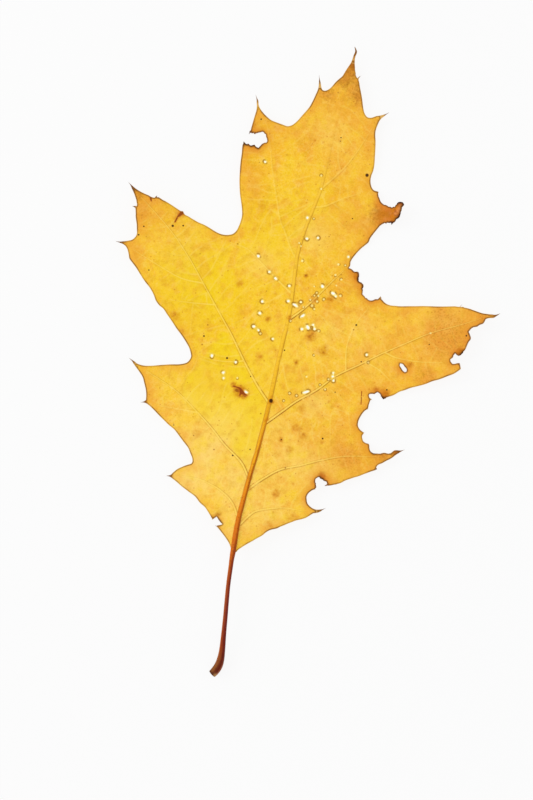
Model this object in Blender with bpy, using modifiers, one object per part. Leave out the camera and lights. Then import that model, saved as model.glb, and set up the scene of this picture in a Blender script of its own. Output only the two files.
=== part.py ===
"""A fallen oak leaf with bristle-tipped lobes, lying with its ribbed face up.

Metres, +Z up. The leaf is drawn in millimetres on a plan of its own: the stalk joins
the blade at (0, 0) and the midrib runs up +Y to the tip. The finished leaf stands on
z = 0 with the world's origin under the middle of its box.
"""
import math

import bmesh
import bpy
import numpy as np
from mathutils import Vector
from mathutils.geometry import delaunay_2d_cdt
from mathutils.kdtree import KDTree

MM = 0.001

# Driving sizes, in millimetres
BLADE_THICKNESS = 0.6
RIB_HEIGHT = 0.55
SIDE_VEIN_HEIGHT = 0.42
BRANCH_HEIGHT = 0.3
THICKEST = BLADE_THICKNESS + RIB_HEIGHT
MESH_STEP = 3.0
VEIN_STEP = 2.6
VEIN_HALF_WIDTH = 1.0
VEIN_TAPER = 0.55
HOLE_SIDES = 8
# How far mesh points keep from others, as a share of their own spacing
GRID_CLEARANCE = 0.62
FOOT_CLEARANCE = 0.8
PLAN_MERGE = 0.0001

# The flat spot that the leaf rests on, and how the rest curls up round it
REST_MIDDLE = (0.5, 68.0)
REST_HALF = (15.0, 12.0)
CURL_SLOPE = 0.11
CURL_SOFTNESS = 30.0
MARGIN_LIFT = 0.55
MARGIN_REACH = 25.0
# How the curl changes round the leaf: waves in a turn, share and start angle
CURL_WAVES = ((2, 0.35, 0.5), (3, 0.3, -1.17))
# Ripples of the blade: height and length of each
CROSS_RIPPLE = (0.25, 7.5, 9.0)
SLANT_RIPPLE = (0.15, 5.5)
CURLED_TIP = (25.5, 109.5)
CURLED_TIP_LIFT = 2.4
CURLED_TIP_SPREAD = 5.5

LEAF_COLOUR = (0.86, 0.53, 0.06, 1.0)

# The margin, in millimetres, up the left side from the stalk
LEFT_BASE = (
    (-0.8, -0.3), (-0.9, 0.3), (-1.8, 1.7), (-3.5, 3.3), (-5, 4.5), (-6.3, 5.5), (-7, 5.9),
    (-6.2, 6), (-5, 6.7), (-6.2, 7.5), (-7.2, 8.5), (-7.6, 8), (-8.2, 7.2), (-9, 8.2),
    (-10.5, 9.7), (-11.3, 10.4), (-13, 11.3), (-14.9, 12.8), (-17, 13.7), (-19.5, 14.8),
    (-22, 16.1), (-23.3, 16.5), (-24.8, 16.8), (-23.9, 17.3),
)
LEFT_LOW_LOBE = (
    (-23, 18.2), (-22, 19.5), (-20.5, 20.7), (-19.3, 21.5), (-18.3, 22.1), (-18.1, 22.6),
    (-18.4, 23.7), (-19.3, 25), (-20.3, 26.4), (-22, 27.8), (-23.8, 29.3), (-25.5, 30.7),
    (-26.2, 31.1), (-27.5, 31.7), (-29, 32.6), (-31, 33.8), (-33, 35.1), (-35, 36.2),
    (-36.2, 36.4), (-37.5, 36.3), (-36.5, 37), (-36, 37.6), (-36.2, 38.7), (-36.7, 40.3),
    (-37.8, 42.5), (-38.5, 43.8), (-40, 45.3), (-41.2, 46.3), (-42.2, 47.2), (-43, 47.9),
    (-43.9, 48.5), (-42.8, 48.3), (-42, 47.9), (-41, 47.4), (-39, 47.3), (-36.7, 47.8),
    (-34, 48.7), (-31, 49.6), (-29, 50.1), (-27.5, 50.7), (-26.6, 51.3), (-26.1, 52.2),
)
LEFT_MAIN_LOBE = (
    (-25.9, 53.2), (-26.3, 54.3), (-27.2, 55.8), (-28.5, 57.2), (-30.2, 58.8), (-32, 60.3),
    (-34, 62.2), (-36, 64), (-37.3, 65.2), (-38.7, 65.9), (-40, 67), (-41, 68.5),
    (-42.5, 70.2), (-44.5, 71.8), (-46.5, 73.7), (-47.9, 75.1), (-49.1, 76.1), (-50.6, 77.4),
    (-51, 78.4), (-51.7, 79.8), (-52.4, 80.6), (-53.4, 81.1), (-54.6, 81.2), (-55.8, 81.4),
    (-54.6, 81.7), (-53.6, 81.9), (-52.3, 82.4), (-51.1, 83), (-50.4, 83.9), (-50.1, 85),
    (-50.4, 86.3), (-50.8, 87.8), (-51.6, 89.9), (-52.1, 91.7), (-53.3, 92.7), (-52, 93.1),
    (-52.2, 94.1), (-52.8, 95.2), (-53.7, 96.6), (-54.3, 97.4), (-55.1, 98.3), (-56.1, 99.4),
    (-54.9, 98.8), (-53.9, 98.2), (-52.6, 97.7), (-51.1, 97.3), (-49.3, 97), (-47.7, 96.8),
    (-46.9, 97.6), (-46.4, 96.9), (-44.4, 96.6), (-42.4, 96), (-40.4, 95.3), (-38.9, 94.8),
    (-38.3, 94.9), (-37.6, 94.1), (-36.4, 93.8), (-34.9, 93.3), (-33.1, 92.8), (-31.3, 92.5),
    (-30.1, 92.2), (-28, 91.5), (-26.5, 91.1), (-25, 91), (-23.5, 91.3), (-22.3, 91.9),
)
LEFT_TOP_LOBE = (
    (-21.5, 93), (-21.1, 94.5), (-20.9, 96), (-20.9, 97.8), (-21.3, 99.5), (-22.1, 101.7),
    (-23, 104), (-24, 107.5), (-24.6, 110.5), (-25, 113), (-25.3, 116), (-25.6, 118),
    (-25.5, 119.5), (-25, 119), (-24.5, 118.8), (-24, 119.1), (-23.2, 118.6), (-22.2, 119.2),
    (-21.5, 118.6), (-20.7, 118.7), (-20.2, 119.5), (-19.7, 120.3), (-19, 120.7),
    (-18.6, 121.2), (-19, 122.1), (-19.5, 123.2), (-20.3, 123.8), (-21.3, 123.7),
    (-22.2, 123.2), (-22.8, 122.4), (-23.3, 122.8), (-24, 122.7), (-24.6, 122.3),
    (-24.3, 123.5), (-24.2, 125.5), (-24.1, 127.5), (-24, 129), (-24.1, 130.2), (-24.5, 131.7),
    (-25.3, 133.7), (-24.1, 132.2), (-23.8, 131.2), (-23.2, 130.2), (-21.8, 129),
    (-20.5, 128.2), (-19, 127.5), (-17, 127.2), (-15, 127), (-14, 126.9), (-13, 127.3),
)
TIP = (
    (-12.2, 128), (-11.3, 129.3), (-10.4, 131), (-9.5, 132.7), (-8.8, 134.2), (-8.3, 136),
    (-7.9, 138), (-7.6, 139.8), (-7.7, 141.3), (-8.3, 144.1), (-7.2, 141.7), (-6.5, 140.2),
    (-5.9, 139.8), (-5.1, 140), (-4.3, 140.7), (-3.7, 141.6), (-3, 143), (-2.2, 144.2),
    (-1.4, 145.3), (-1, 146.5), (-0.5, 148), (0, 149.3), (0.3, 150.6), (0.4, 152),
    (0.5, 153.2), (0, 154.7), (0.8, 154.4), (1.2, 153.4), (1, 151.6), (1.3, 149.8),
    (1.7, 148.5), (2.1, 147.1), (2.8, 146), (3.3, 145.5), (4, 146.8), (3.9, 145.1),
    (4.2, 144), (5, 142.2), (5.6, 140.9), (6.2, 139.4), (6.8, 137.8), (7.5, 136.3),
    (8.3, 135.4), (9, 135.1), (10, 135.3), (11.3, 136.1), (12.3, 136.5), (13.2, 137),
    (14.9, 138.2), (13.8, 136.8), (13.1, 136), (12.6, 135.1), (12.3, 133.8), (12.1, 132),
)
RIGHT_TOP_LOBE = (
    (12.3, 130.5), (12.8, 128.8), (13.3, 126.5), (13.7, 124.3), (14.1, 122), (14.2, 120),
    (14, 118.5), (14.1, 117), (14.5, 115.8), (15.1, 114.9), (15.8, 114.4), (16.8, 114.3),
    (17.3, 114.2), (17.3, 113.6), (17.7, 112.8), (18.3, 111.8), (19.2, 111.1), (20.2, 110.8),
    (21.2, 110.6), (22.2, 110.6), (22.8, 111), (23.3, 111.5), (23.7, 112.2), (24.3, 112.6),
    (24.9, 112.6), (25.4, 112.1), (25.1, 111), (24.8, 109.8), (24.8, 108.7), (24.5, 107.7),
    (23.9, 106.8), (23.4, 105.9), (22, 105.7), (21.1, 105.5), (20.4, 105), (19.8, 104),
    (19.2, 102.8), (18.5, 101.3), (18, 100), (17.9, 99), (17.2, 98), (16.2, 96.7),
    (15.3, 95.2), (14.5, 93.6), (14.1, 92.5), (14, 91.7), (14.2, 90.9), (13.9, 90.1),
)
RIGHT_MAIN_TOP = (
    (14.6, 90), (15.2, 89.7), (16, 89.5), (16.9, 89.6), (17.2, 89.2), (17.4, 88.3),
    (17.7, 87.4), (17.6, 87), (18.3, 86.8), (19, 86.5), (19.4, 85.9), (19.4, 85),
    (19.6, 84.2), (19.7, 83.5), (20.3, 83.1), (20.8, 82.6), (21.5, 82.4), (22.2, 82.2),
    (23, 82.3), (23.5, 82.6), (24.2, 83), (24.8, 83.4), (25.1, 84), (25.6, 83.3),
    (26.6, 82.6), (27.6, 82.2), (28.8, 82.1), (30.2, 82.3), (31.6, 82.5), (34, 83.1),
    (35.5, 83.45), (38.5, 84.2), (42, 84.9), (45, 85.6), (47.3, 86.2), (49, 86.4),
    (50.3, 86.65), (52, 86.45), (54.1, 86.2), (55.8, 86.05), (57.5, 86.2), (59.2, 86.45),
    (60.1, 86.8), (60.9, 87.2), (60.5, 86.4), (59.9, 85.9), (59.2, 85.4), (58, 85.05),
)
RIGHT_MAIN_END = (
    (57.2, 84.6), (57, 83.95), (56.7, 83.1), (55.7, 82.4), (55.2, 81.8), (54.1, 81.3),
    (53.5, 80.6), (53.1, 79.7), (53.7, 78.9), (54.2, 77.8), (53.8, 76.8), (53.55, 75.5),
    (53.3, 74.1), (52.8, 73.2), (52.4, 72.3), (51.9, 72.05), (51.3, 72.2), (50.8, 72.6),
    (50.5, 72.1), (50.3, 71.05), (49.7, 70.4), (50, 69.8), (50.65, 69.3), (51.4, 69.5),
    (52.1, 69.95), (52.6, 70), (53, 69.3), (53.4, 68.4), (52.7, 67.5), (51.6, 66.4),
    (50, 65.3), (48, 63.9), (46, 62.8), (44.2, 61.5), (42, 60.3), (40.1, 59.3),
    (38.8, 58.4), (37.3, 57.5), (36, 56.25), (34.9, 55.5), (34, 54.9), (33.1, 54.2),
    (32.7, 54.5), (32.3, 55), (31.85, 55.6), (31.4, 55.8), (30.9, 55.8), (30.5, 55.5),
    (30.2, 55.1), (29.5, 55.05), (28.9, 54.9), (28.6, 54.5), (28.7, 54.1), (29, 53.8),
)
RIGHT_LOW_LOBE = (
    (29.8, 53.4), (29.5, 53), (29.35, 52.3), (29.3, 51.45), (29.35, 50.3), (29, 50),
    (28.5, 49.5), (28.1, 48.7), (27.8, 47.9), (27.5, 46.8), (27.4, 45.7), (27.6, 44.7),
    (28.1, 44.05), (28.7, 43.6), (29.9, 43.1), (29.7, 42.7), (29.5, 42), (29.8, 41.25),
    (30.2, 40.6), (31.1, 40.25), (31.95, 40.2), (32.2, 39.9), (32.4, 39.2), (32.8, 38.4),
    (33.4, 37.95), (34, 37.8), (35.1, 38), (35.9, 38.15), (36.85, 38.65), (37.5, 38.75),
    (38.3, 38.75), (39.05, 39.15), (39.45, 39.7), (39.9, 40.15), (40.7, 40.35),
    (41.55, 40.6), (42.9, 41.1), (41.9, 40.1), (41.1, 39.4), (40.5, 38.75), (40, 38.1),
    (39.25, 37.3), (38.2, 36.45), (37.2, 35.5), (36.3, 34.7), (35.7, 33.8), (36.2, 33.3),
    (35.6, 33.1), (34.85, 32.6), (33.8, 31.8), (32.6, 31), (31.5, 30.2), (30.1, 29.4),
)
RIGHT_BASE = (
    (28.8, 28.6), (27.6, 27.8), (26.6, 26.9), (25.4, 26.2), (24.3, 25.65), (23.2, 25.2),
    (22.1, 24.9), (22.7, 25.5), (22.5, 25.9), (21.9, 26.3), (21, 26.5), (20.15, 26.7),
    (19.8, 27), (19.3, 26.6), (19, 26), (19.3, 25), (19.65, 23.8), (19.4, 23.2),
    (18.7, 22.6), (18, 21.9), (17.6, 21), (17.55, 20.4), (17.8, 19.6), (18.2, 18.7),
    (19.1, 18), (20, 17.6), (21, 17.45), (21.9, 17.6), (24, 18.6), (22.7, 17.2),
    (21.6, 16.5), (20.6, 16.1), (19.9, 15.4), (19.1, 14.6), (18.4, 14.05), (17.4, 13.5),
    (16, 12.8), (15, 12.1), (14.1, 11.5), (12.9, 10.6), (11.9, 9.9), (11.2, 9.3),
    (10, 8.7), (9.1, 8.2), (8.2, 7.35), (7.35, 6.2), (6, 5), (5, 4), (4.1, 3.2),
    (3.2, 2.35), (2.35, 1.5), (1.3, 0.3), (1, -0.4),
)
MARGIN = (LEFT_BASE + LEFT_LOW_LOBE + LEFT_MAIN_LOBE + LEFT_TOP_LOBE + TIP + RIGHT_TOP_LOBE
          + RIGHT_MAIN_TOP + RIGHT_MAIN_END + RIGHT_LOW_LOBE + RIGHT_BASE)

# The torn hole in the right lobe, and the larger small holes as middle, length, width, turn
TORN_HOLE = (
    (35.5, 65.8), (36.3, 65.8), (37, 65.2), (37.8, 64.6), (37.9, 63.9), (37.5, 63.6),
    (36.8, 63.9), (36.1, 64.6), (35.5, 65.2),
)
SMALL_HOLES = (
    (-7.4, 46.7, 1.7, 0.8, -20), (0.9, 75.5, 2.3, 0.9, -15), (3.8, 72.9, 2.1, 0.8, 48),
    (6.1, 69.9, 1.9, 1.2, -48), (-19.9, 54.9, 1.3, 0.9, 100), (-6.7, 81.9, 1.2, 0.9, -30),
    (11.1, 81.6, 1.9, 1, -22), (7.5, 82.9, 1.3, 1, -40), (10.1, 50.9, 2.8, 0.9, 30),
    (-8.9, 70.7, 1.1, 1, 0), (-9.7, 66.4, 1.1, 1, 0), (-13.3, 87.2, 1.2, 1.1, 0),
    (-15.4, 50.8, 1.1, 0.9, 60),
)

# The veins, each from its root outwards
MIDRIB = (
    (-0.5, 16), (-0.5, 20), (-0.3, 25), (0, 30), (0.2, 35), (0.3, 40), (0.1, 45), (0, 50),
    (0, 60), (0.1, 71), (-0.6, 78), (-1.5, 86), (-2, 91), (-1.6, 98), (-0.6, 105),
    (0.2, 111), (0.2, 118), (0.1, 130), (0.2, 140), (0.6, 149),
)
SIDE_VEINS = (
    ((-0.9, 9.5), (-3, 12.8), (-5, 14.7), (-7.3, 16), (-10, 17.1), (-15, 18.1), (-20, 17.8)),
    ((-0.7, 22), (-4, 26), (-10, 29.9), (-14.5, 33.5), (-20, 37.3), (-28, 42.2), (-38, 46)),
    ((0.1, 45), (-4.5, 49.3), (-10.2, 55.7), (-15.5, 62.2), (-20.5, 67.7), (-27.5, 75.4),
     (-33.5, 81.9), (-40, 87.9), (-47, 93), (-52, 96.3)),
    ((-0.6, 78.4), (-6.7, 82), (-12.9, 86.1), (-17.2, 88.6), (-22.5, 89.2)),
    ((-2, 89), (-4.2, 91.4), (-7.4, 96.3), (-9.5, 99.2), (-11.8, 104.7), (-15.3, 113.3),
     (-19, 124), (-22.5, 128.6)),
    ((0.2, 8), (2.3, 11.2), (4.2, 13), (8.7, 14.8), (12, 15.7), (17.5, 16.1)),
    ((0, 18.6), (3.7, 22.7), (8, 26.5), (13.5, 29.1), (18.7, 31.8), (26, 34.9), (36, 37.2)),
    ((0.5, 39.2), (2.5, 41), (5.1, 45.2), (8.6, 49), (13.1, 52.3), (17.7, 57.7),
     (23.9, 62.7), (28.9, 66.9), (34.1, 70.8), (41.9, 76.5), (50.5, 81.3), (56, 84.6)),
    ((0.1, 70.9), (3.8, 75.3), (7.7, 81.3), (10.2, 85.4), (12.6, 89)),
    ((-0.5, 105.3), (2.8, 106.5), (7.3, 109.8), (12, 112.6)),
    ((0.5, 111.4), (5.1, 118.1), (8, 124), (10.5, 131), (11.6, 134.5)),
)
BRANCHES = (
    ((-27.5, 75.4), (-34, 75.3), (-40.3, 77), (-50, 80.2)),
    ((-22.5, 70), (-29, 69), (-36, 68.2)),
    ((-10.2, 55.7), (-13, 54.7), (-18, 53.9), (-23.5, 54)),
    ((20.2, 59.8), (18.8, 67.1), (19.8, 74), (22.3, 79.5)),
    ((25.2, 63.9), (30, 62.4), (34, 60)),
    ((30.4, 68), (34.1, 67.2), (41, 67.6), (47.5, 68.9)),
    ((-20, 37.3), (-27, 37), (-33, 36.6)),
    ((26, 34.9), (29, 37.6), (30.3, 39)),
)

# The stalk, from inside the midrib down to its swollen foot: middle, radius and how high
# the middle runs over the blade's lower face, or over the line it droops along
STALK = (
    (0.1, 36, 0.22, 0.38), (0, 30, 0.42, 0.42), (-0.3, 25, 0.58, 0.44), (-0.5, 18, 0.68, 0.46),
    (-0.6, 10, 0.78, 0.46), (-0.3, 5, 0.88, 0.42), (0.1, 0, 0.92, 0.35), (0.2, -2.5, 0.76, 0.4),
    (0.4, -5, 0.66, 0.5), (0.9, -10, 0.61, 0.75), (1.6, -15, 0.63, 0.95),
    (2.4, -20, 0.68, 1), (3.1, -25, 0.72, 0.9), (3.8, -30, 0.86, 0.75),
    (4, -33, 1.05, 0.7), (3.8, -35, 1.2, 0.65), (3.1, -36.8, 1.25, 0.6), (2.4, -37.9, 1.2, 0.6),
)
STALK_LENGTH = 38.0
STALK_DROOP = 0.75
CAP_WELD = 1e-6
STALK_BEVEL_RESOLUTION = 2


def clear_scene():
    for old in list(bpy.data.objects):
        bpy.data.objects.remove(old, do_unlink=True)


def collection(name):
    made = bpy.data.collections.new(name)
    bpy.context.scene.collection.children.link(made)
    return made


def leaf_material():
    material = bpy.data.materials.new("autumn leaf")
    material.use_nodes = True
    shader = material.node_tree.nodes["Principled BSDF"]
    shader.inputs["Base Color"].default_value = LEAF_COLOUR
    shader.inputs["Roughness"].default_value = 0.62
    shader.inputs["Metallic"].default_value = 0.0
    material.diffuse_color = LEAF_COLOUR
    return material


def lift(x, y):
    """Height of the blade's lower face over the table, in millimetres."""
    out_x = max(0.0, abs(x - REST_MIDDLE[0]) - REST_HALF[0])
    out_y = max(0.0, abs(y - REST_MIDDLE[1]) - REST_HALF[1])
    away = math.hypot(out_x, out_y)
    around = math.atan2(y - REST_MIDDLE[1], x - REST_MIDDLE[0])
    lobes = 1 + sum(share * math.cos(waves * around + start) for waves, share, start in CURL_WAVES)
    height, length_x, length_y = CROSS_RIPPLE
    ripple = height * math.sin(x / length_x) * math.sin(y / length_y)
    height, length = SLANT_RIPPLE
    ripple += height * math.sin((x + y) / length)
    curl = CURL_SLOPE * away * away / (away + CURL_SOFTNESS)
    outer = min(1.0, away / MARGIN_REACH) ** 2
    from_tip = math.hypot(x - CURLED_TIP[0], y - CURLED_TIP[1])
    rolled = CURLED_TIP_LIFT * math.exp(-((from_tip / CURLED_TIP_SPREAD) ** 2))
    return curl * lobes + outer * (MARGIN_LIFT + ripple) + rolled


def stalk_line(y):
    """Height of the line that the stalk droops along, below the joint with the blade."""
    return lift(0, 0) * (1 - STALK_DROOP * (y / STALK_LENGTH) ** 2)


def smooth_path(points, step):
    """Points a step apart on a smooth curve through the given ones."""
    ends = [points[0]] + list(points) + [points[-1]]
    fine = []
    for before, start, end, after in zip(ends, ends[1:], ends[2:], ends[3:]):
        before, start, end, after = (np.array(p, float) for p in (before, start, end, after))
        pieces = max(1, round(float(np.linalg.norm(end - start)) / step))
        for piece in range(pieces):
            t = piece / pieces
            bend = (2 * before - 5 * start + 4 * end - after) * t * t
            twist = (3 * start - before - 3 * end + after) * t ** 3
            fine.append(0.5 * (2 * start + (end - before) * t + bend + twist))
    fine.append(np.array(points[-1], float))
    return fine


def inside(points, loop):
    """Which of the points lie inside a closed loop, by counting the edges to their right."""
    points = np.asarray(points, float)
    loop = np.asarray(loop, float)
    found = np.zeros(len(points), bool)
    for (x0, y0), (x1, y1) in zip(loop, np.roll(loop, -1, axis=0)):
        if y0 == y1:
            continue
        crosses = (y0 > points[:, 1]) != (y1 > points[:, 1])
        found ^= crosses & (points[:, 0] < x0 + (points[:, 1] - y0) * (x1 - x0) / (y1 - y0))
    return found


def oval(x, y, length, width, turn):
    """A small hole's edge."""
    turn = math.radians(turn)
    edge = []
    for side in range(HOLE_SIDES):
        angle = 2 * math.pi * side / HOLE_SIDES
        along = length / 2 * math.cos(angle)
        across = width / 2 * math.sin(angle)
        edge.append((x + along * math.cos(turn) - across * math.sin(turn),
                     y + along * math.sin(turn) + across * math.cos(turn)))
    return edge


def vein_paths():
    """Each vein's fine middle line, with its height at the root."""
    paths = [(smooth_path(MIDRIB, VEIN_STEP), RIB_HEIGHT)]
    paths += [(smooth_path(vein, VEIN_STEP), SIDE_VEIN_HEIGHT) for vein in SIDE_VEINS]
    paths += [(smooth_path(vein, VEIN_STEP), BRANCH_HEIGHT) for vein in BRANCHES]
    return paths


def rib_heights(points, paths):
    """Height of the veins over the blade's upper face, at each point."""
    heights = np.zeros(len(points))
    for path, root_height in paths:
        path = np.array(path)
        for index, (start, end) in enumerate(zip(path, path[1:])):
            along = end - start
            t = np.clip((points - start) @ along / (along @ along), 0, 1)
            gap = np.linalg.norm(points - start - t[:, None] * along, axis=1)
            height = root_height * (1 - VEIN_TAPER * (index + t) / len(path))
            heights = np.maximum(heights, height * np.clip(1 - gap / VEIN_HALF_WIDTH, 0, 1))
    return heights


class Plan:
    """The points and fixed edges that the blade's mesh is drawn through."""

    def __init__(self):
        self.points = []
        self.edges = []

    def add_chain(self, chain, closed):
        first = len(self.points)
        self.points += [tuple(point) for point in chain]
        self.edges += [(first + i, first + i + 1) for i in range(len(chain) - 1)]
        if closed:
            self.edges.append((first + len(chain) - 1, first))

    def free_of(self, candidates, gap):
        """The candidates that keep a gap to every point so far."""
        near = KDTree(len(self.points))
        for index, point in enumerate(self.points):
            near.insert((point[0], point[1], 0), index)
        near.balance()
        return [tuple(point) for point in candidates
                if near.find((point[0], point[1], 0))[2] >= gap]

    def add_row(self, row, gap):
        """Add a row of points and the edges between neighbours, without crowding others."""
        kept = set(self.free_of(row, gap))
        last = None
        for point in (tuple(point) for point in row):
            if point in kept:
                self.points.append(point)
                if last is not None:
                    self.edges.append((last, len(self.points) - 1))
                last = len(self.points) - 1
            else:
                last = None


def vein_foot(path, side):
    """The line where one side of a vein meets the blade."""
    foot = []
    for before, point, after in zip(path, path[1:], path[2:]):
        along = (after - before) / np.linalg.norm(after - before)
        foot.append(point + np.array((-along[1], along[0])) * VEIN_HALF_WIDTH * side)
    return foot


def lattice():
    """An even triangular grid over the whole blade."""
    margin = np.array(MARGIN)
    low, high = margin.min(axis=0), margin.max(axis=0)
    grid = []
    row_gap = MESH_STEP * math.sqrt(3) / 2
    for row in range(int((high[1] - low[1]) / row_gap) + 1):
        shift = MESH_STEP / 2 * (row % 2)
        for column in range(int((high[0] - low[0]) / MESH_STEP) + 1):
            grid.append((low[0] + shift + column * MESH_STEP, low[1] + row * row_gap))
    return grid


def on_blade(points, holes):
    kept = inside(points, MARGIN)
    for hole in holes:
        kept &= ~inside(points, hole)
    return kept


def blade_sheet(paths):
    """The blade's lower face as a triangle mesh, its veins as thickness weights."""
    holes = [oval(*hole) for hole in SMALL_HOLES] + [TORN_HOLE]
    plan = Plan()
    plan.add_chain(MARGIN, closed=True)
    for hole in holes:
        plan.add_chain(hole, closed=True)
    for path, _ in paths:
        plan.add_chain(path, closed=False)
    for path, _ in paths:
        for side in (-1, 1):
            plan.add_row(vein_foot(path, side), VEIN_HALF_WIDTH * FOOT_CLEARANCE)
    grid = lattice()
    grid = [point for point, good in zip(grid, on_blade(grid, holes)) if good]
    plan.points += plan.free_of(grid, MESH_STEP * GRID_CLEARANCE)

    flat = [Vector(point) for point in plan.points]
    points, _, faces, _, _, _ = delaunay_2d_cdt(flat, plan.edges, [], 0, PLAN_MERGE)
    points = np.array(points)
    middles = np.array([points[list(face)].mean(axis=0) for face in faces])
    faces = [face for face, good in zip(faces, on_blade(middles, holes)) if good]

    sheet = bpy.data.meshes.new("leaf")
    corners = [(x * MM, y * MM, lift(x, y) * MM) for x, y in points]
    sheet.from_pydata(corners, [], faces)
    shape = bmesh.new()
    shape.from_mesh(sheet)
    loose = [corner for corner in shape.verts if not corner.link_faces]
    bmesh.ops.delete(shape, geom=loose, context="VERTS")
    shape.to_mesh(sheet)
    shape.free()
    return sheet


def blade(paths, home):
    """The blade with its thickness and its raised veins."""
    leaf = bpy.data.objects.new("leaf", blade_sheet(paths))
    home.objects.link(leaf)
    plan_points = np.array([corner.co[:2] for corner in leaf.data.vertices]) / MM
    weights = leaf.vertex_groups.new(name="thickness")
    for index, rib in enumerate(rib_heights(plan_points, paths)):
        weights.add([index], (BLADE_THICKNESS + float(rib)) / THICKEST, "REPLACE")
    thickness = leaf.modifiers.new("thickness", "SOLIDIFY")
    thickness.thickness = THICKEST * MM
    thickness.offset = 1.0
    thickness.vertex_group = weights.name
    thickness.thickness_vertex_group = 0.0
    return leaf


def stalk(home):
    """The stalk as a tapering tube, whose upper end sinks into the midrib."""
    route = bpy.data.curves.new("stalk route", "CURVE")
    route.dimensions = "3D"
    route.bevel_depth = MM
    route.bevel_resolution = STALK_BEVEL_RESOLUTION
    route.use_fill_caps = True
    fine = smooth_path(STALK, VEIN_STEP)
    spline = route.splines.new("POLY")
    spline.points.add(len(fine) - 1)
    for point, (x, y, radius, rise) in zip(spline.points, fine):
        ground = lift(x, y) if y > 0 else stalk_line(y)
        point.co = (x * MM, y * MM, (ground + rise) * MM, 1)
        point.radius = radius
    tube = bpy.data.objects.new("stalk route", route)
    home.objects.link(tube)
    bpy.context.view_layer.update()
    evaluated = tube.evaluated_get(bpy.context.evaluated_depsgraph_get())
    mesh = bpy.data.meshes.new_from_object(evaluated)
    shape = bmesh.new()
    shape.from_mesh(mesh)
    bmesh.ops.remove_doubles(shape, verts=shape.verts, dist=CAP_WELD)
    shape.to_mesh(mesh)
    shape.free()
    solid = bpy.data.objects.new("stalk", mesh)
    solid.matrix_world = tube.matrix_world.copy()
    home.objects.link(solid)
    bpy.data.objects.remove(tube)
    solid.hide_render = True
    solid.display_type = "WIRE"
    return solid


def build():
    clear_scene()
    leaf_home = collection("oak_leaf")
    guides = collection("guides")
    leaf = blade(vein_paths(), leaf_home)
    leaf.data.materials.append(leaf_material())
    tube = stalk(guides)
    join = leaf.modifiers.new("stalk", "BOOLEAN")
    join.operation = "UNION"
    join.object = tube

    margin = np.array(MARGIN) * MM
    foot = min(corner.co.y for corner in tube.data.vertices)
    middle_x = (margin[:, 0].min() + margin[:, 0].max()) / 2
    middle_y = (foot + margin[:, 1].max()) / 2
    for part in (leaf, tube):
        part.location = (-middle_x, -middle_y, 0)
    leaf.data.shade_smooth()


build()
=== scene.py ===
import math
import random

import bpy
import numpy as np
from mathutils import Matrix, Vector
from mathutils.geometry import delaunay_2d_cdt
from mathutils.kdtree import KDTree


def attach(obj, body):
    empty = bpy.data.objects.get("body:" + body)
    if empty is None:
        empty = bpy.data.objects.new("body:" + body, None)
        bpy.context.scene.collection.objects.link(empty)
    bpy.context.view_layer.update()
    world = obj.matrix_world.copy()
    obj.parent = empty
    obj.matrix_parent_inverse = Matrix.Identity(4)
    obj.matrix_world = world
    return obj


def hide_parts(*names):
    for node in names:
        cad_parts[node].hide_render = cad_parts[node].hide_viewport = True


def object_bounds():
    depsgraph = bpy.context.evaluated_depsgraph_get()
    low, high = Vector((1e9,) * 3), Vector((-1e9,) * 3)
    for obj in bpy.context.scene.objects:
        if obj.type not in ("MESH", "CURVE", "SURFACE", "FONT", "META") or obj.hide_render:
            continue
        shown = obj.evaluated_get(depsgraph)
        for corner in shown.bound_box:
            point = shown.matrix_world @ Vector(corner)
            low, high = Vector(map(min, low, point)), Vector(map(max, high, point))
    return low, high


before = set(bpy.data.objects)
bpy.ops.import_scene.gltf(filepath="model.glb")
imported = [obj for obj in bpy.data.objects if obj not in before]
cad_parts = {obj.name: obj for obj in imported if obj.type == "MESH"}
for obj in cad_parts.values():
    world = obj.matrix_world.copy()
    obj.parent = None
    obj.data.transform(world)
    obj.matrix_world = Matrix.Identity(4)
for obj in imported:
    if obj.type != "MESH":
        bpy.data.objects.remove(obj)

MM = 0.001
CAD_LOW, CAD_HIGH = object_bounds()

# Blade, in millimetres; a turn of the margin past SHARP_TURN degrees stays a corner
BLADE_THICKNESS = 0.28
EDGE_THICKNESS = 0.14
EDGE_TAPER = 0.5
MESH_STEP = 0.58
EDGE_STEP = 0.42
VEIN_STEP = 0.6
FINE_STEP = 0.1
SHARP_TURN = 48
SMOOTH_ANGLE = math.radians(50)
FAR = 6.0

# The flat spot that the leaf rests on, and how the rest curls up round it
REST_MIDDLE = (0.5, 68.0)
REST_HALF = (15.0, 12.0)
CURL_SLOPE = 0.11
CURL_SOFTNESS = 30.0
MARGIN_LIFT = 0.55
MARGIN_REACH = 25.0
CURL_WAVES = ((2, 0.35, 0.5), (3, 0.3, -1.17))
CROSS_RIPPLE = (0.25, 7.5, 9.0)
SLANT_RIPPLE = (0.15, 5.5)
CURLED_TIP = (25.5, 109.5)
CURLED_TIP_LIFT = 2.4
CURLED_TIP_SPREAD = 5.5
# The ridge where the curled tip is rolled, and the finer grid of the mesh round it
CURL_RIDGE = ((24.6, 112), (24.4, 110.4), (24, 109), (23.2, 107.6))
CURL_RIDGE_SIZE = (0.75, 0.6)
CURL_LOW = (20.5, 105)
CURL_HIGH = (26, 113)
CURL_STEP = 0.28

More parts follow.
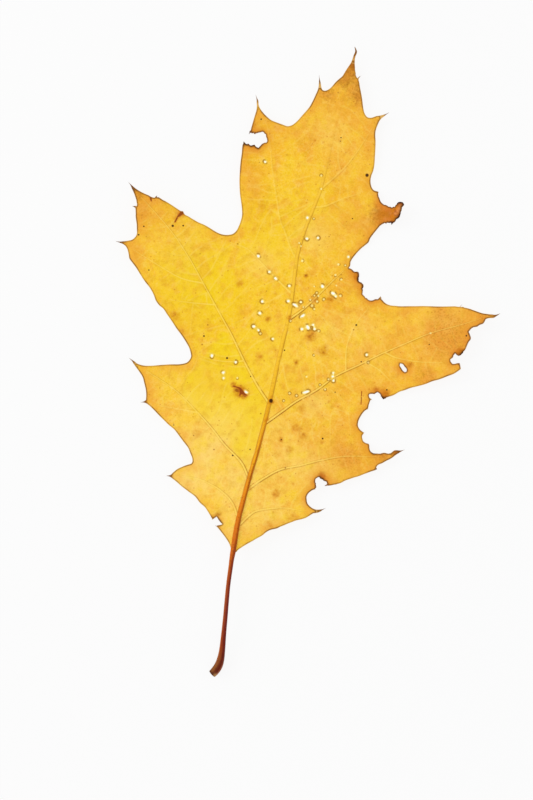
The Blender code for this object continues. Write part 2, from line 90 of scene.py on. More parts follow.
# The margin, up the left side from the stalk, over the tip and down the right side
LEFT_BASE = (
    (-0.8, -0.3), (-0.9, 0.3), (-1.8, 1.7), (-3.5, 3.3), (-5, 4.5), (-6.3, 5.5), (-7, 5.9), (-6.2, 6),
    (-5, 6.7), (-6.2, 7.5), (-7.2, 8.5), (-7.6, 8), (-8.2, 7.2), (-9, 8.2), (-10.5, 9.7), (-11.3, 10.4),
    (-13, 11.3), (-14.9, 12.8), (-17, 13.7), (-19.5, 14.8), (-22, 16.1), (-23.3, 16.5), (-24.8, 16.8),
    (-23.9, 17.3),
)
LEFT_LOW_LOBE = (
    (-23, 18.2), (-22, 19.5), (-20.5, 20.7), (-19.3, 21.5), (-18.3, 22.1), (-18.1, 22.6), (-18.4, 23.7),
    (-19.3, 25), (-20.3, 26.4), (-22, 27.8), (-23.8, 29.3), (-25.5, 30.7), (-26.2, 31.1), (-27.5, 31.7),
    (-29, 32.6), (-31, 33.8), (-33, 35.1), (-35, 36.2), (-36.2, 36.4), (-37.5, 36.3), (-36.5, 37),
    (-36, 37.6), (-36.2, 38.7), (-36.7, 40.3), (-37.8, 42.5), (-38.5, 43.8), (-40, 45.3), (-41.2, 46.3),
    (-42.2, 47.2), (-43, 47.9), (-43.9, 48.5), (-42.8, 48.3), (-42, 47.9), (-41, 47.4), (-39, 47.3),
    (-36.7, 47.8), (-34, 48.7), (-31, 49.6), (-29, 50.1), (-27.5, 50.7), (-26.6, 51.3), (-26.1, 52.2),
)
LEFT_MAIN_LOBE = (
    (-25.9, 53.2), (-26.3, 54.3), (-27.2, 55.8), (-28.5, 57.2), (-30.2, 58.8), (-32, 60.3), (-34, 62.2),
    (-36, 64), (-37.3, 65.2), (-38.7, 65.9), (-40, 67), (-41, 68.5), (-42.5, 70.2), (-44.5, 71.8),
    (-46.5, 73.7), (-47.9, 75.1), (-49.1, 76.1), (-50.6, 77.4), (-51, 78.4), (-51.7, 79.8),
    (-52.4, 80.6), (-53.4, 81.1), (-54.6, 81.2), (-55.8, 81.4), (-54.6, 81.7), (-53.6, 81.9),
    (-52.3, 82.4), (-51.1, 83), (-50.4, 83.9), (-50.1, 85), (-50.4, 86.3), (-50.8, 87.8), (-51.6, 89.9),
    (-52.1, 91.7), (-53.3, 92.7), (-52, 93.1), (-52.2, 94.1), (-52.8, 95.2), (-53.7, 96.6),
    (-54.3, 97.4), (-55.1, 98.3), (-56.1, 99.4), (-54.9, 98.8), (-53.9, 98.2), (-52.6, 97.7),
    (-51.1, 97.3), (-49.3, 97), (-47.7, 96.8), (-46.9, 97.6), (-46.4, 96.9), (-44.4, 96.6), (-42.4, 96),
    (-40.4, 95.3), (-38.9, 94.8), (-38.3, 94.9), (-37.6, 94.1), (-36.4, 93.8), (-34.9, 93.3),
    (-33.1, 92.8), (-31.3, 92.5), (-30.1, 92.2), (-28, 91.5), (-26.5, 91.1), (-25, 91), (-23.5, 91.3),
    (-22.3, 91.9),
)
LEFT_TOP_LOBE = (
    (-21.5, 93), (-21.1, 94.5), (-20.9, 96), (-20.9, 97.8), (-21.3, 99.5), (-22.1, 101.7), (-23, 104),
    (-24, 107.5), (-24.6, 110.5), (-25, 113), (-25.3, 116), (-25.6, 118), (-25.5, 119.5), (-25, 119),
    (-24.5, 118.8), (-24, 119.1), (-23.2, 118.6), (-22.2, 119.2), (-21.5, 118.6), (-20.7, 118.7),
    (-20.2, 119.5), (-19.7, 120.3), (-19, 120.7), (-18.7, 121.2), (-19.1, 122), (-19.6, 122.9),
    (-20.4, 123.4), (-21.3, 123.3), (-22.1, 122.8), (-22.8, 122.1), (-23.3, 122.4), (-24, 122.3),
    (-24.6, 121.9), (-24.3, 123.5), (-24.2, 125.5), (-24.1, 127.5), (-24, 129), (-24.1, 130.2),
    (-24.5, 131.7), (-25.3, 133.7), (-24.1, 132.2), (-23.8, 131.2), (-23.2, 130.2), (-21.8, 129),
    (-20.5, 128.2), (-19, 127.5), (-17, 127.2), (-15, 127), (-14, 126.9), (-13, 127.3),
)
TIP = (
    (-12.2, 128), (-11.3, 129.3), (-10.4, 131), (-9.5, 132.7), (-8.8, 134.2), (-8.3, 136), (-7.9, 138),
    (-7.6, 139.8), (-7.7, 141.3), (-8.3, 144.1), (-7.2, 141.7), (-6.5, 140.2), (-5.9, 139.8),
    (-5.1, 140), (-4.3, 140.7), (-3.7, 141.6), (-3, 143), (-2.2, 144.2), (-1.4, 145.3), (-1, 146.5),
    (-0.5, 148), (0, 149.3), (0.3, 150.6), (0.4, 152), (0.5, 153.2), (0, 154.7), (0.8, 154.4),
    (1.2, 153.4), (1, 151.6), (1.3, 149.8), (1.7, 148.5), (2.1, 147.1), (2.8, 146), (3.3, 145.5),
    (4, 146.8), (3.9, 145.1), (4.2, 144), (5, 142.2), (5.6, 140.9), (6.2, 139.4), (6.8, 137.8),
    (7.5, 136.3), (8.3, 135.4), (9, 135.1), (10, 135.3), (11.3, 136.1), (12.3, 136.5), (13.2, 137),
    (14.9, 138.2), (13.8, 136.8), (13.1, 136), (12.6, 135.1), (12.3, 133.8), (12.1, 132),
)
RIGHT_TOP_LOBE = (
    (12.3, 130.5), (12.8, 128.8), (13.3, 126.5), (13.7, 124.3), (14.1, 122), (14.2, 120), (14, 118.5),
    (14.1, 117), (14.5, 115.8), (15.1, 114.9), (15.8, 114.4), (16.8, 114.3), (17.3, 114.2),
    (17.3, 113.6), (17.7, 112.8), (18.3, 111.8), (19.2, 111.1), (20.2, 110.8), (21.2, 110.6),
    (22.2, 110.6), (22.9, 111), (23.3, 111.7), (23.7, 112.45), (24.2, 112.75), (24.8, 112.7),
    (25.5, 112.15), (25.1, 111.5), (25, 110.2), (25, 109), (25, 108.3), (24.5, 107.6), (23.9, 106.6),
    (23.35, 105.6), (23, 106), (22, 105.75), (21.1, 105.5), (20.4, 105), (19.8, 104), (19.2, 102.8),
    (18.5, 101.3), (18, 100), (17.9, 99), (17.2, 98), (16.2, 96.7), (15.3, 95.2), (14.5, 93.6),
    (14.1, 92.5), (14, 91.7), (14.2, 90.9), (13.9, 90.1),
)
RIGHT_MAIN_TOP = (
    (14.6, 90), (15.2, 89.7), (16, 89.5), (16.9, 89.6), (17.2, 89.2), (17.4, 88.3), (17.7, 87.4),
    (17.6, 87), (18.3, 86.8), (19, 86.5), (19.4, 85.9), (19.4, 85), (19.6, 84.2), (19.7, 83.5),
    (20.3, 83.1), (20.8, 82.6), (21.5, 82.4), (22.2, 82.2), (23, 82.3), (23.5, 82.6), (24.2, 83),
    (24.8, 83.4), (25.1, 84), (25.6, 83.3), (26.6, 82.6), (27.6, 82.2), (28.8, 82.1), (30.2, 82.3),
    (31.6, 82.5), (34, 83.1), (35.5, 83.45), (38.5, 84.2), (42, 84.9), (45, 85.6), (47.3, 86.2),
    (48, 86.32), (49.3, 87.3), (48.5, 86.38), (49, 86.4), (50.3, 86.65), (52, 86.45), (54.1, 86.2),
    (55.8, 86.05), (57.5, 86.2), (59.2, 86.45), (60.1, 86.8), (60.89, 87.2), (60.5, 86.4), (59.9, 85.9),
    (59.2, 85.4), (58, 85.05),
)
RIGHT_MAIN_END = (
    (57.2, 84.6), (57, 83.95), (56.7, 83.1), (55.7, 82.4), (55.2, 81.8), (54.1, 81.3), (53.5, 80.6),
    (53.1, 79.7), (53.7, 78.9), (54.2, 77.8), (53.8, 76.8), (53.55, 75.5), (53.3, 74.1), (52.8, 73.2),
    (52.4, 72.3), (51.9, 72.05), (51.3, 72.2), (50.8, 72.6), (50.5, 72.1), (50.3, 71.05), (49.7, 70.4),
    (50, 69.8), (50.65, 69.3), (51.4, 69.5), (52.1, 69.95), (52.6, 70), (53, 69.3), (53.4, 68.4),
    (52.7, 67.5), (51.6, 66.4), (50, 65.3), (48, 63.9), (46, 62.8), (44.2, 61.5), (42, 60.3),
    (40.1, 59.3), (38.8, 58.4), (37.3, 57.5), (36, 56.25), (34.9, 55.5), (34, 54.9), (33.1, 54.2),
    (32.7, 54.5), (32.3, 55), (31.85, 55.6), (31.4, 55.8), (30.9, 55.8), (30.5, 55.5), (30.2, 55.1),
    (29.5, 55.05), (28.9, 54.9), (28.6, 54.5), (28.7, 54.1), (29, 53.8),
)
RIGHT_LOW_LOBE = (
    (29.8, 53.4), (29.5, 53), (29.35, 52.3), (29.3, 51.45), (29.35, 50.3), (29, 50), (28.5, 49.5),
    (28.1, 48.7), (27.8, 47.9), (27.5, 46.8), (27.4, 45.7), (27.6, 44.7), (28.1, 44.05), (28.7, 43.6),
    (29.9, 43.1), (29.7, 42.7), (29.5, 42), (29.8, 41.25), (30.2, 40.6), (31.1, 40.25), (31.95, 40.2),
    (32.2, 39.9), (32.4, 39.2), (32.8, 38.4), (33.4, 37.95), (34, 37.8), (35.1, 38), (35.9, 38.15),
    (36.85, 38.65), (37.5, 38.75), (38.3, 38.75), (39.05, 39.15), (39.45, 39.7), (39.9, 40.15),
    (40.7, 40.35), (41.55, 40.6), (42.9, 41.1), (41.9, 40.1), (41.1, 39.4), (40.5, 38.75), (40, 38.1),
    (39.25, 37.3), (38.2, 36.45), (37.2, 35.5), (36.3, 34.7), (35.7, 33.8), (36.2, 33.3), (35.6, 33.1),
    (34.85, 32.6), (33.8, 31.8), (32.6, 31), (31.5, 30.2), (30.1, 29.4),
)
RIGHT_BASE = (
    (28.8, 28.6), (27.6, 27.8), (26.6, 26.9), (25.4, 26.2), (24.3, 25.65), (23.2, 25.2), (22.1, 24.9),
    (22.7, 25.5), (22.5, 25.9), (21.9, 26.3), (21, 26.5), (20.15, 26.7), (19.8, 27), (19.3, 26.6),
    (19, 26), (19.3, 25), (19.65, 23.8), (19.4, 23.2), (18.7, 22.6), (18, 21.9), (17.6, 21),
    (17.55, 20.4), (17.8, 19.6), (18.2, 18.7), (19.1, 18), (20, 17.6), (21, 17.45), (21.9, 17.6),
    (24, 18.6), (22.7, 17.2), (21.6, 16.5), (20.6, 16.1), (19.9, 15.4), (19.1, 14.6), (18.4, 14.05),
    (17.4, 13.5), (16, 12.8), (15, 12.1), (14.1, 11.5), (12.9, 10.6), (11.9, 9.9), (11.2, 9.3),
    (10, 8.7), (9.1, 8.2), (8.2, 7.35), (7.35, 6.2), (6, 5), (5, 4), (4.1, 3.2), (3.2, 2.35),
    (2.35, 1.5), (1.3, 0.3), (1, -0.4),
)
MARGIN = (LEFT_BASE + LEFT_LOW_LOBE + LEFT_MAIN_LOBE + LEFT_TOP_LOBE + TIP + RIGHT_TOP_LOBE
          + RIGHT_MAIN_TOP + RIGHT_MAIN_END + RIGHT_LOW_LOBE + RIGHT_BASE)

# The torn hole in the right lobe, and the larger small holes as middle, length, width, turn
TORN_HOLE = (
    (35.5, 65.8), (36.3, 65.8), (37, 65.2), (37.8, 64.6), (37.9, 63.9), (37.5, 63.6), (36.8, 63.9),
    (36.1, 64.6), (35.5, 65.2),
)
SMALL_HOLES = (
    (-7.4, 46.7, 1.7, 0.8, -20), (0.9, 75.5, 2.3, 0.9, -15), (3.8, 72.9, 2.1, 0.8, 48),
    (6.1, 69.9, 1.9, 1.2, -48), (-19.9, 54.9, 1.3, 0.9, 100), (-6.7, 81.9, 1.2, 0.9, -30),
    (11.1, 81.6, 1.9, 1, -22), (7.5, 82.9, 1.3, 1, -40), (10.1, 50.9, 2.8, 0.9, 30),
    (-8.9, 70.7, 1.1, 1, 0), (-9.7, 66.4, 1.1, 1, 0), (-13.3, 87.2, 1.2, 1.1, 0),
    (-15.4, 50.8, 1.1, 0.9, 60),
)

# The veins, each from its root outwards
MIDRIB = (
    (0, -0.2), (-0.45, 5), (-0.7, 10), (-0.6, 16), (-0.5, 20), (-0.3, 25), (0, 30), (0.1, 35),
    (0.2, 40), (0.15, 45), (0.05, 50), (-0.2, 60), (-0.2, 71), (-0.7, 78), (-1.6, 86), (-2, 91),
    (-1.6, 98), (-0.6, 105), (0.2, 111), (0.2, 118), (0.1, 130), (0.2, 140), (0.6, 149),
)
SIDE_VEINS = (
    ((-0.9, 9.5), (-3, 12.8), (-5, 14.7), (-7.3, 16), (-10, 17.1), (-15, 18.1), (-20, 17.8)),
    ((-0.7, 22), (-4, 26), (-10, 29.9), (-14.5, 33.5), (-20, 37.3), (-28, 42.2), (-38, 46)),
    ((0.1, 45), (-4.5, 49.3), (-10.2, 55.7), (-15.5, 62.2), (-20.5, 67.7), (-27.5, 75.4),
     (-33.5, 81.9), (-40, 87.9), (-47, 93), (-52, 96.3)),
    ((-0.6, 78.4), (-6.7, 82), (-12.9, 86.1), (-17.2, 88.6), (-22.5, 89.2)),
    ((-2, 89), (-4.2, 91.4), (-7.4, 96.3), (-9.5, 99.2), (-11.8, 104.7), (-15.3, 113.3),
     (-19, 124), (-22.5, 128.6)),
    ((0.2, 8), (2.3, 11.2), (4.2, 13), (8.7, 14.8), (12, 15.7), (17.5, 16.1)),
    ((0, 18.6), (3.7, 22.7), (8, 26.5), (13.5, 29.1), (18.7, 31.8), (26, 34.9), (36, 37.2)),
    ((0.2, 38.8), (1.1, 39.7), (4.5, 43.6), (8, 47.6), (13.1, 52.3), (17.7, 57.7),
     (23.9, 62.7), (28.9, 66.9), (34.1, 70.8), (41.9, 76.5), (50.5, 81.3), (56, 84.6)),
    ((0.1, 70.9), (3.8, 75.3), (7.7, 81.3), (10.2, 85.4), (12.6, 89)),
    ((-0.5, 105.3), (2.8, 106.5), (7.3, 109.8), (12, 112.6)),
    ((0.5, 111.4), (5.1, 118.1), (8, 124), (10.5, 131), (11.6, 134.5)),
)
BRANCHES = (
    ((-27.5, 75.4), (-34, 75.3), (-40.3, 77), (-50, 80.2)),
    ((-22.5, 70), (-29, 69), (-36, 68.2)),
    ((-10.2, 55.7), (-13, 54.7), (-18, 53.9), (-23.5, 54)),
    ((20.2, 59.8), (18.8, 67.1), (19.8, 74), (22.3, 79.5)),
    ((25.2, 63.9), (30, 62.4), (34, 60)),
    ((30.4, 68), (34.1, 67.2), (41, 67.6), (47.5, 68.9)),
    ((-20, 37.3), (-27, 37), (-33, 36.6)),
)
# The stalk, from inside the midrib down to its swollen foot: middle, radius and how high
# the middle runs over the blade's lower face, or over the line it droops along
STALK = (
    (0.1, 36, 0.2, 0.34), (0, 30, 0.36, 0.38), (-0.3, 25, 0.48, 0.4), (-0.55, 18, 0.58, 0.42),
    (-0.7, 10, 0.68, 0.44), (-0.45, 5, 0.78, 0.42), (0, 0, 0.82, 0.35), (0.15, -2.5, 0.72, 0.4),
    (0.4, -5, 0.66, 0.5), (0.9, -10, 0.63, 0.75), (1.6, -15, 0.65, 0.95), (2.35, -20, 0.68, 1),
    (3.05, -25, 0.74, 0.9), (3.75, -30, 0.9, 0.75), (3.95, -33, 1.12, 0.7), (3.75, -35, 1.27, 0.65),
    (3.1, -36.7, 1.28, 0.6), (2.5, -37.72, 1.2, 0.6),
)
STALK_LENGTH = 38.0
STALK_DROOP = 0.75
STALK_SIDES = 24
STALK_STEP = 0.4
# How far the foot reaches below the joint, its cut face's rim and depth, and the scar beside it
STALK_FOOT = 38.52
CUT_RIM = 0.22
CUT_DEPTH = 0.12
SCAR = (3.5, -37.8, 0.55, 1)

# How close the grid's points come to others, as a share of its step
GRID_CLEARANCE = 0.62
# Points nearer than this are merged
PLAN_MERGE = 0.0001
# How close other rows of mesh points come to those already there
LADDER_CLEARANCE = 0.25
CRACK_CLEARANCE = 0.2
SPECK_CLEARANCE = 0.14
WINDOW_CLEARANCE = 0.12
# The edge is ragged where it is gnawed this brown or browner, and thin near each bristle
RAGGEDNESS = 0.12
RAGGED_BROWN = 0.7
BRISTLE_REACH = 2.2
# The step along a hole's edge, and the open part of its width; its pale lip takes the rest
HOLE_STEP = 0.25
HOLE_SHARE = 0.64
# Veins: half-width and height at the root, the rows of mesh points across, and their clearance
MIDRIB_SIZE = (0.74, 0.42)
SIDE_VEIN_SIZE = (0.36, 0.12)
BRANCH_SIZE = (0.3, 0.06)
BRANCH_FORCE = 0.95
BRANCH_SHADE = 0.1
MIDRIB_ROWS = (0, 0.35, -0.35, 0.7, -0.7, 1, -1)
VEIN_ROWS = (0, 0.5, -0.5, 1, -1)
MIDRIB_CLEARANCE = 0.16
VEIN_CLEARANCE = 0.11
VEIN_REACH = 2.5
# Heights and half-widths: the crease under a vein, and a ladder vein's ridge
CREASE = (0.05, 0.8)
LADDER_RIDGE = (0.035, 0.4)
# How much thinner the blade is in a crack and in a window
CRACK_DEPTH = 0.1
WINDOW_DEPTH = 0.14
# Ladder veins, which lean from their side vein by so many degrees
CROSS_VEIN_STEP = 0.5
CROSS_VEIN_STEPS = 28
CROSS_VEIN_LEAN = (62, 84)
CROSS_VEIN_GAP = (2.6, 4.6)
FRESH_MARK = -2

# The camera looks straight down, turned as the photo is
PHOTO_TURN = 13.5
VIEW_MIDDLE = (-0.86, 45.83)
EYE_HEIGHT = 0.8
FLOOR_SIZE = 8.0

SHIFT = (CAD_LOW.x / MM - min(x for x, _ in MARGIN), CAD_HIGH.y / MM - max(y for _, y in MARGIN))

# Colours of the stalk and midrib by height up the leaf: its lit left side and its darker right side,
# which is partly its own deeper red and partly painted shade from the lamp on the left
RIB_TONES = (
    (-38, (130, 76, 22)), (-35, (134, 76, 26)), (-31, (138, 60, 16)), (-28, (140, 50, 12)),
    (-18, (142, 58, 26)), (-8, (160, 68, 14)), (0, (198, 98, 10)), (14, (220, 124, 8)),
    (30, (238, 171, 18)), (44, (232, 168, 18)), (50, (243, 188, 36)), (70, (247, 198, 50)),
    (110, (246, 196, 60)), (154, (232, 168, 46)),
)
RIB_SHADOWS = (
    (-38, (100, 40, 6)), (-35, (98, 26, 2)), (-30, (108, 28, 8)), (-18, (118, 34, 24)),
    (-6, (126, 38, 10)), (4, (172, 78, 4)), (20, (192, 100, 4)), (36, (206, 126, 8)),
    (48, (236, 178, 30)), (80, (242, 192, 44)), (154, (220, 158, 40)),
)
# Where the midrib turns pale, fades out and becomes the bare stalk, as shares of the leaf's length
UPPER_RIB = (0.4, 0.46)
TOP_RIB = (0.9, 0.66)
BARE_STALK = (0.25, 0.17)
# How far out each place knows its distance from the midrib
RIB_REACH = 90

# Pin holes that insects left, and windows where they left a thin skin: middle and width
PIN_HOLES = (
    (-0.4, 95.7, 1), (-9, 83.4, 0.8), (-2.2, 80.7, 0.8), (-1.4, 76.2, 0.95), (2.3, 76.8, 0.65),
    (-9, 74.3, 0.95), (4.5, 69, 1), (7.5, 71, 0.7), (8.2, 69.9, 0.9), (-8.1, 65.6, 0.7),
    (-3.3, 64.1, 0.7), (12.1, 80.9, 0.75), (13, 93.3, 0.8), (-12.5, 54.7, 0.85), (-14.9, 49.2, 0.65),
    (16.7, 58.4, 0.7), (16.8, 57.3, 0.85), (17.3, 56.2, 0.8), (25.2, 66, 0.85), (-17.9, 115, 0.8),
    (-1.7, 101.8, 0.85), (2.8, 96.7, 0.75),
)
WINDOWS = (
    (-2.3, 93.9, 0.8), (-1.6, 93.1, 0.7), (-0.2, 88.9, 0.95), (3.4, 75.5, 0.75), (0.6, 70.6, 0.85),
    (9.5, 69.6, 0.9), (-7.3, 64.8, 0.9), (9.8, 62.2, 0.75), (5.1, 82.3, 0.6), (6.3, 80.6, 0.8),
    (5.8, 79.6, 0.7), (7, 79.8, 0.8), (4.9, 78.1, 0.8), (7, 78.1, 0.9), (8.8, 79.2, 0.95),
    (5.8, 76.5, 1.1), (6.7, 75.7, 0.8), (13.4, 81.4, 1), (11.5, 84.1, 0.6), (12.5, 86.2, 0.85),
    (10.5, 87.1, 0.9), (10.6, 90.4, 0.95), (12.7, 90.6, 0.7), (-10.9, 50.2, 0.8), (7.6, 49.2, 0.85),
    (5.4, 49.4, 0.85), (4.2, 46.8, 0.75), (13.7, 54, 0.7), (15.5, 53, 0.8), (9.2, 55.4, 0.75),
    (15.8, 56.2, 0.85), (26.2, 63.9, 0.85), (42.2, 76.7, 0.75), (-0.6, 115, 0.9), (0.3, 111.1, 0.8),
    (0.25, 102, 0.7),
)

# Where the edge is gnawed: middle, reach and how brown it has turned
GNAWED = (
    (-7, 6.8, 1.7, 0.8), (-22.3, 121, 4.2, 0.9), (15.7, 116.5, 2.5, 0.2), (21, 110.5, 5.5, 0.9),
    (22, 106.8, 3.5, 0.8), (18.5, 100.5, 5, 0.35), (15, 94, 4, 0.15), (16.4, 88.6, 3.2, 1),
    (19, 85.5, 3.5, 0.7), (23, 83, 3.2, 0.7), (56, 82.5, 3.2, 0.4), (53.8, 78, 4, 0.5),
    (52, 72.2, 2.6, 1), (50.5, 69.6, 2.2, 0.4), (31.4, 55, 3, 0.8), (29, 50.5, 3, 0.25),
    (28.5, 44.5, 4, 0.4), (33, 39, 4, 0.5), (21, 25.2, 3.8, 0.8), (18.3, 20, 2.8, 0.4),
    (36.7, 64.7, 2.6, 0.6),
)
# Where the edge is charred dark: middle, reach and strength
CHARRED = (
    (24.1, 112.6, 1.4, 1), (25.3, 112.2, 1, 1), (24.8, 108.2, 1.5, 1), (23.3, 105.9, 1.1, 1),
    (25, 110, 1, 0.5), (-24.8, 119.3, 1.2, 1), (-22.8, 118.9, 1.2, 0.7), (-20.8, 118.7, 1, 0.6),
    (-24.6, 122.1, 0.8, 0.8), (17.5, 87.6, 1.4, 0.8), (19.4, 85.3, 0.8, 0.7), (33.1, 54.4, 1, 1),
    (-6, 7.2, 1, 0.6), (52.8, 73, 0.9, 1), (34, 37.9, 1, 0.6), (20.7, 26.5, 1.2, 0.7),
)
# Bristle tips of the lobes, and how far down from each the blade has turned brown
TIPS = (
    (-24.8, 16.8, 0.6), (-37.5, 36.3, 0.6), (-43.9, 48.5, 0.7), (-55.8, 81.4, 0.7), (-53.3, 92.7, 0.3),
    (-56.1, 99.4, 1), (-46.9, 97.6, 0.2), (-25.3, 133.7, 0.7), (-8.3, 144.1, 0.7), (0, 154.7, 0.9),
    (4, 146.8, 0.3), (14.9, 138.2, 0.5), (60.9, 87.2, 0.7), (42.9, 41.1, 0.8), (24, 18.6, 0.6),
    (36.2, 33.3, 0.2), (49.3, 87.3, 0.2),
)
# Dark specks: middle and radius
SPECKS = (
    (20.1, 74, 0.36), (18.2, 38.5, 0.32), (-40.3, 89.9, 0.4), (-37.3, 90.7, 0.3), (-15.3, 55.3, 0.36),
    (-7.1, 51.6, 0.24), (11.5, 104.7, 0.22), (-49.5, 84.9, 0.28), (-23.6, 60.1, 0.3),
    (12.7, 118.3, 0.58), (0.9, 61.6, 0.26), (6.2, 35.3, 0.24), (33.5, 57.2, 0.26), (52.7, 78.4, 0.28),
    (24.1, 63.6, 0.24), (-22, 127, 0.28), (-6.8, 27.4, 0.34), (-2.2, 30.3, 0.22), (-26.1, 32, 0.24),
    (18.6, 52.9, 0.2), (2.5, 127.4, 0.22), (2.5, 126.3, 0.18), (42.6, 73.3, 0.2), (-48.6, 87.7, 0.26),
    (0.5, 45.9, 0.66), (-44.1, 75.4, 0.24),
)
# Soft brown patches: middle, reach and strength
PATCHES = (
    (-9.4, 46.6, 1.9, 1.2), (-7.9, 46, 1.4, 1.3), (-11.4, 47.8, 1, 0.9), (-6.2, 69.5, 1.3, 0.6),
    (7.9, 67.5, 1.4, 0.5), (7.2, 65.7, 0.9, 0.45), (8.6, 68.2, 0.7, 0.5), (2, 84.8, 0.9, 0.7),
    (10.7, 79.6, 1.1, 0.8), (5.2, 59, 1, 0.8), (6.3, 59.9, 0.7, 0.4), (5.6, 50.4, 0.9, 0.35),
    (-5.7, 58, 1.3, 0.5), (12.6, 65.2, 1.4, 0.5), (17.5, 49.6, 0.9, 0.5), (18.6, 48.5, 0.9, 0.5),
    (10.2, 45.9, 1.4, 0.6), (9.5, 39.8, 1.4, 0.6), (12.5, 38, 1.4, 0.6), (8.4, 19.3, 1.5, 0.65),
    (9.2, 33, 1.5, 0.5), (15, 14, 1.4, 0.45), (14.3, 13.1, 0.9, 0.4), (-16.7, 77.8, 1.5, 0.55),
    (-18.3, 78.3, 0.8, 0.35), (38.6, 66.2, 1.1, 0.7), (6.4, 78.4, 1.7, 0.5), (0.6, 45.7, 0.9, 1),
    (0.3, 47, 0.6, 0.6), (33.4, 56.2, 1.8, 0.6), (52.2, 73, 1.2, 1), (-36.3, 76.8, 1.6, 0.3),
    (20.3, 107.7, 2.2, 0.6), (24, 109.2, 2, 1), (24.6, 111.8, 1.3, 1), (17, 88, 1.2, 0.8),
    (20.9, 24.6, 1.6, 0.4), (-8.7, 98.9, 1.8, 0.25), (-40.1, 92.3, 1.1, 0.4), (8.6, 83.9, 1, 0.4),
    (-10, 55.6, 1.1, 0.3), (18.2, 37.4, 0.8, 0.6), (-15, 26.8, 1.6, 0.25), (31, 79.5, 3, 0.2),
    (-10.5, 45.5, 3.5, 0.25), (7.5, 67.6, 1.8, 0.75), (12.3, 64, 1.8, 0.65), (-8, 7.2, 1.6, 0.7),
    (10.9, 39.6, 1.4, 0.5), (-5.7, 77.5, 1, 0.4), (-15.8, 102.3, 2.2, 0.4), (6.2, 35.3, 1, 0.7),
    (0.8, 24.5, 1.2, 0.4), (-33.5, 64.1, 1.8, 0.6), (13, 47.5, 1.5, 0.4), (-30.5, 60, 1.2, 0.5),
    (24.5, 112.3, 0.9, 1.4), (23.4, 106.4, 1, 1.2), (24.3, 108, 0.6, 1), (22.6, 108.3, 2, 0.4),
    (2.1, 84.9, 1.1, 0.4), (-24, 120.3, 1.2, 0.7), (3, 88.5, 2, 0.2), (14, 41, 3, 0.25),
    (2.5, 126.4, 0.9, 0.5), (0.7, 40, 0.9, 0.7), (0.5, 18.9, 0.9, 0.6), (-0.4, 22.1, 1, 0.7),
    (0, 71.4, 0.9, 0.8), (-0.2, 30, 1.2, 0.4), (8.5, 9.8, 2, 0.35), (12.7, 23.4, 0.7, 0.5),
    (-18.8, 31, 2, 0.4), (-5, 124.7, 0.6, 0.7), (-2.4, 124.9, 0.5, 0.6),
)
# Zones turned brown: middle, reach and strength
SCORCHED = (
    (22.6, 108.8, 3.4, 0.95), (24.6, 111.6, 2.2, 1), (20, 107.8, 4.2, 0.6), (24, 107.2, 1.6, 1),
    (52.3, 72.9, 1.5, 1), (16.8, 88, 1.1, 0.8), (33.1, 55.3, 1.5, 0.8), (30.4, 56.6, 1, 0.6),
    (40.8, 39.8, 1.9, 0.9), (58.5, 86.2, 2.2, 0.25), (37, 38, 2, 0.35), (20.6, 27.4, 1.3, 0.8),
    (-7.2, 9, 1.3, 0.5), (-24.4, 122.5, 1.2, 0.6), (-36.8, 37.3, 1.6, 0.5), (-54, 82.5, 1.6, 0.5),
    (-25, 17, 1.4, 0.4), (19.3, 87, 1.2, 0.4), (51, 70, 1.2, 0.35), (-42.5, 48, 1.4, 0.35),
    (3.8, 143.5, 2, 0.4), (1.3, 150, 3.4, 0.8), (0, 145.5, 4.5, 0.5), (5, 141, 4, 0.45),
    (-4.5, 139, 3, 0.35), (-24.6, 125, 2, 0.5), (12.2, 134.5, 1.6, 0.3), (56.5, 84.5, 2.4, 0.3),
    (-52.5, 96.5, 2.4, 0.4), (-39, 94, 1.6, 0.4), (-44, 96, 1.6, 0.3),
)
# Painted highlight on the lit face where the curled tip rolls over: middle, reach and strength
ROLL_HIGHLIGHT_SPOTS = (
    (24.7, 111.4, 0.5, 0.9), (24.4, 110.5, 0.45, 1), (24.2, 109.8, 0.45, 1), (23.7, 108.9, 0.5, 0.8),
    (22.3, 108.7, 0.5, 0.3), (21.2, 106.8, 0.6, 0.35), (22.6, 106.6, 0.6, 0.4),
)
# The greener field between two side veins and the midrib
LEMON_FIELD = (
    (-0.8, 22.3), (-4, 26.2), (-10, 30.1), (-14.5, 33.7), (-20, 37.5), (-26, 41), (-26, 46.5),
    (-22.5, 54), (-19.5, 62.5), (-16, 62.5), (-10.2, 55.9), (-4.5, 49.5), (0, 45.2),
)
FIELD_SOFTNESS = 2.4
# Cracks in the blade: places along them, and half-width
CRACKS = (
    ((-38.3, 94.9, 0.85), (-38.7, 94.1, 0.6), (-39.5, 92.7, 0.28), (-39.9, 91.2, 0.2)),
    ((-11.6, 47.5, 0.15), (-10.4, 47.5, 0.22), (-9.4, 47.3, 0.34), (-8.4, 46.5, 0.4),
     (-7.8, 46, 0.34), (-7, 45.8, 0.2)),
    ((-9.4, 47.2, 0.2), (-8.9, 46.2, 0.36), (-9, 45.3, 0.2)),
    ((-48.6, 96.6, 0.35), (-48.2, 95.5, 0.2)),
    ((26.3, 55, 0.12), (27, 51.2, 0.12)),
)
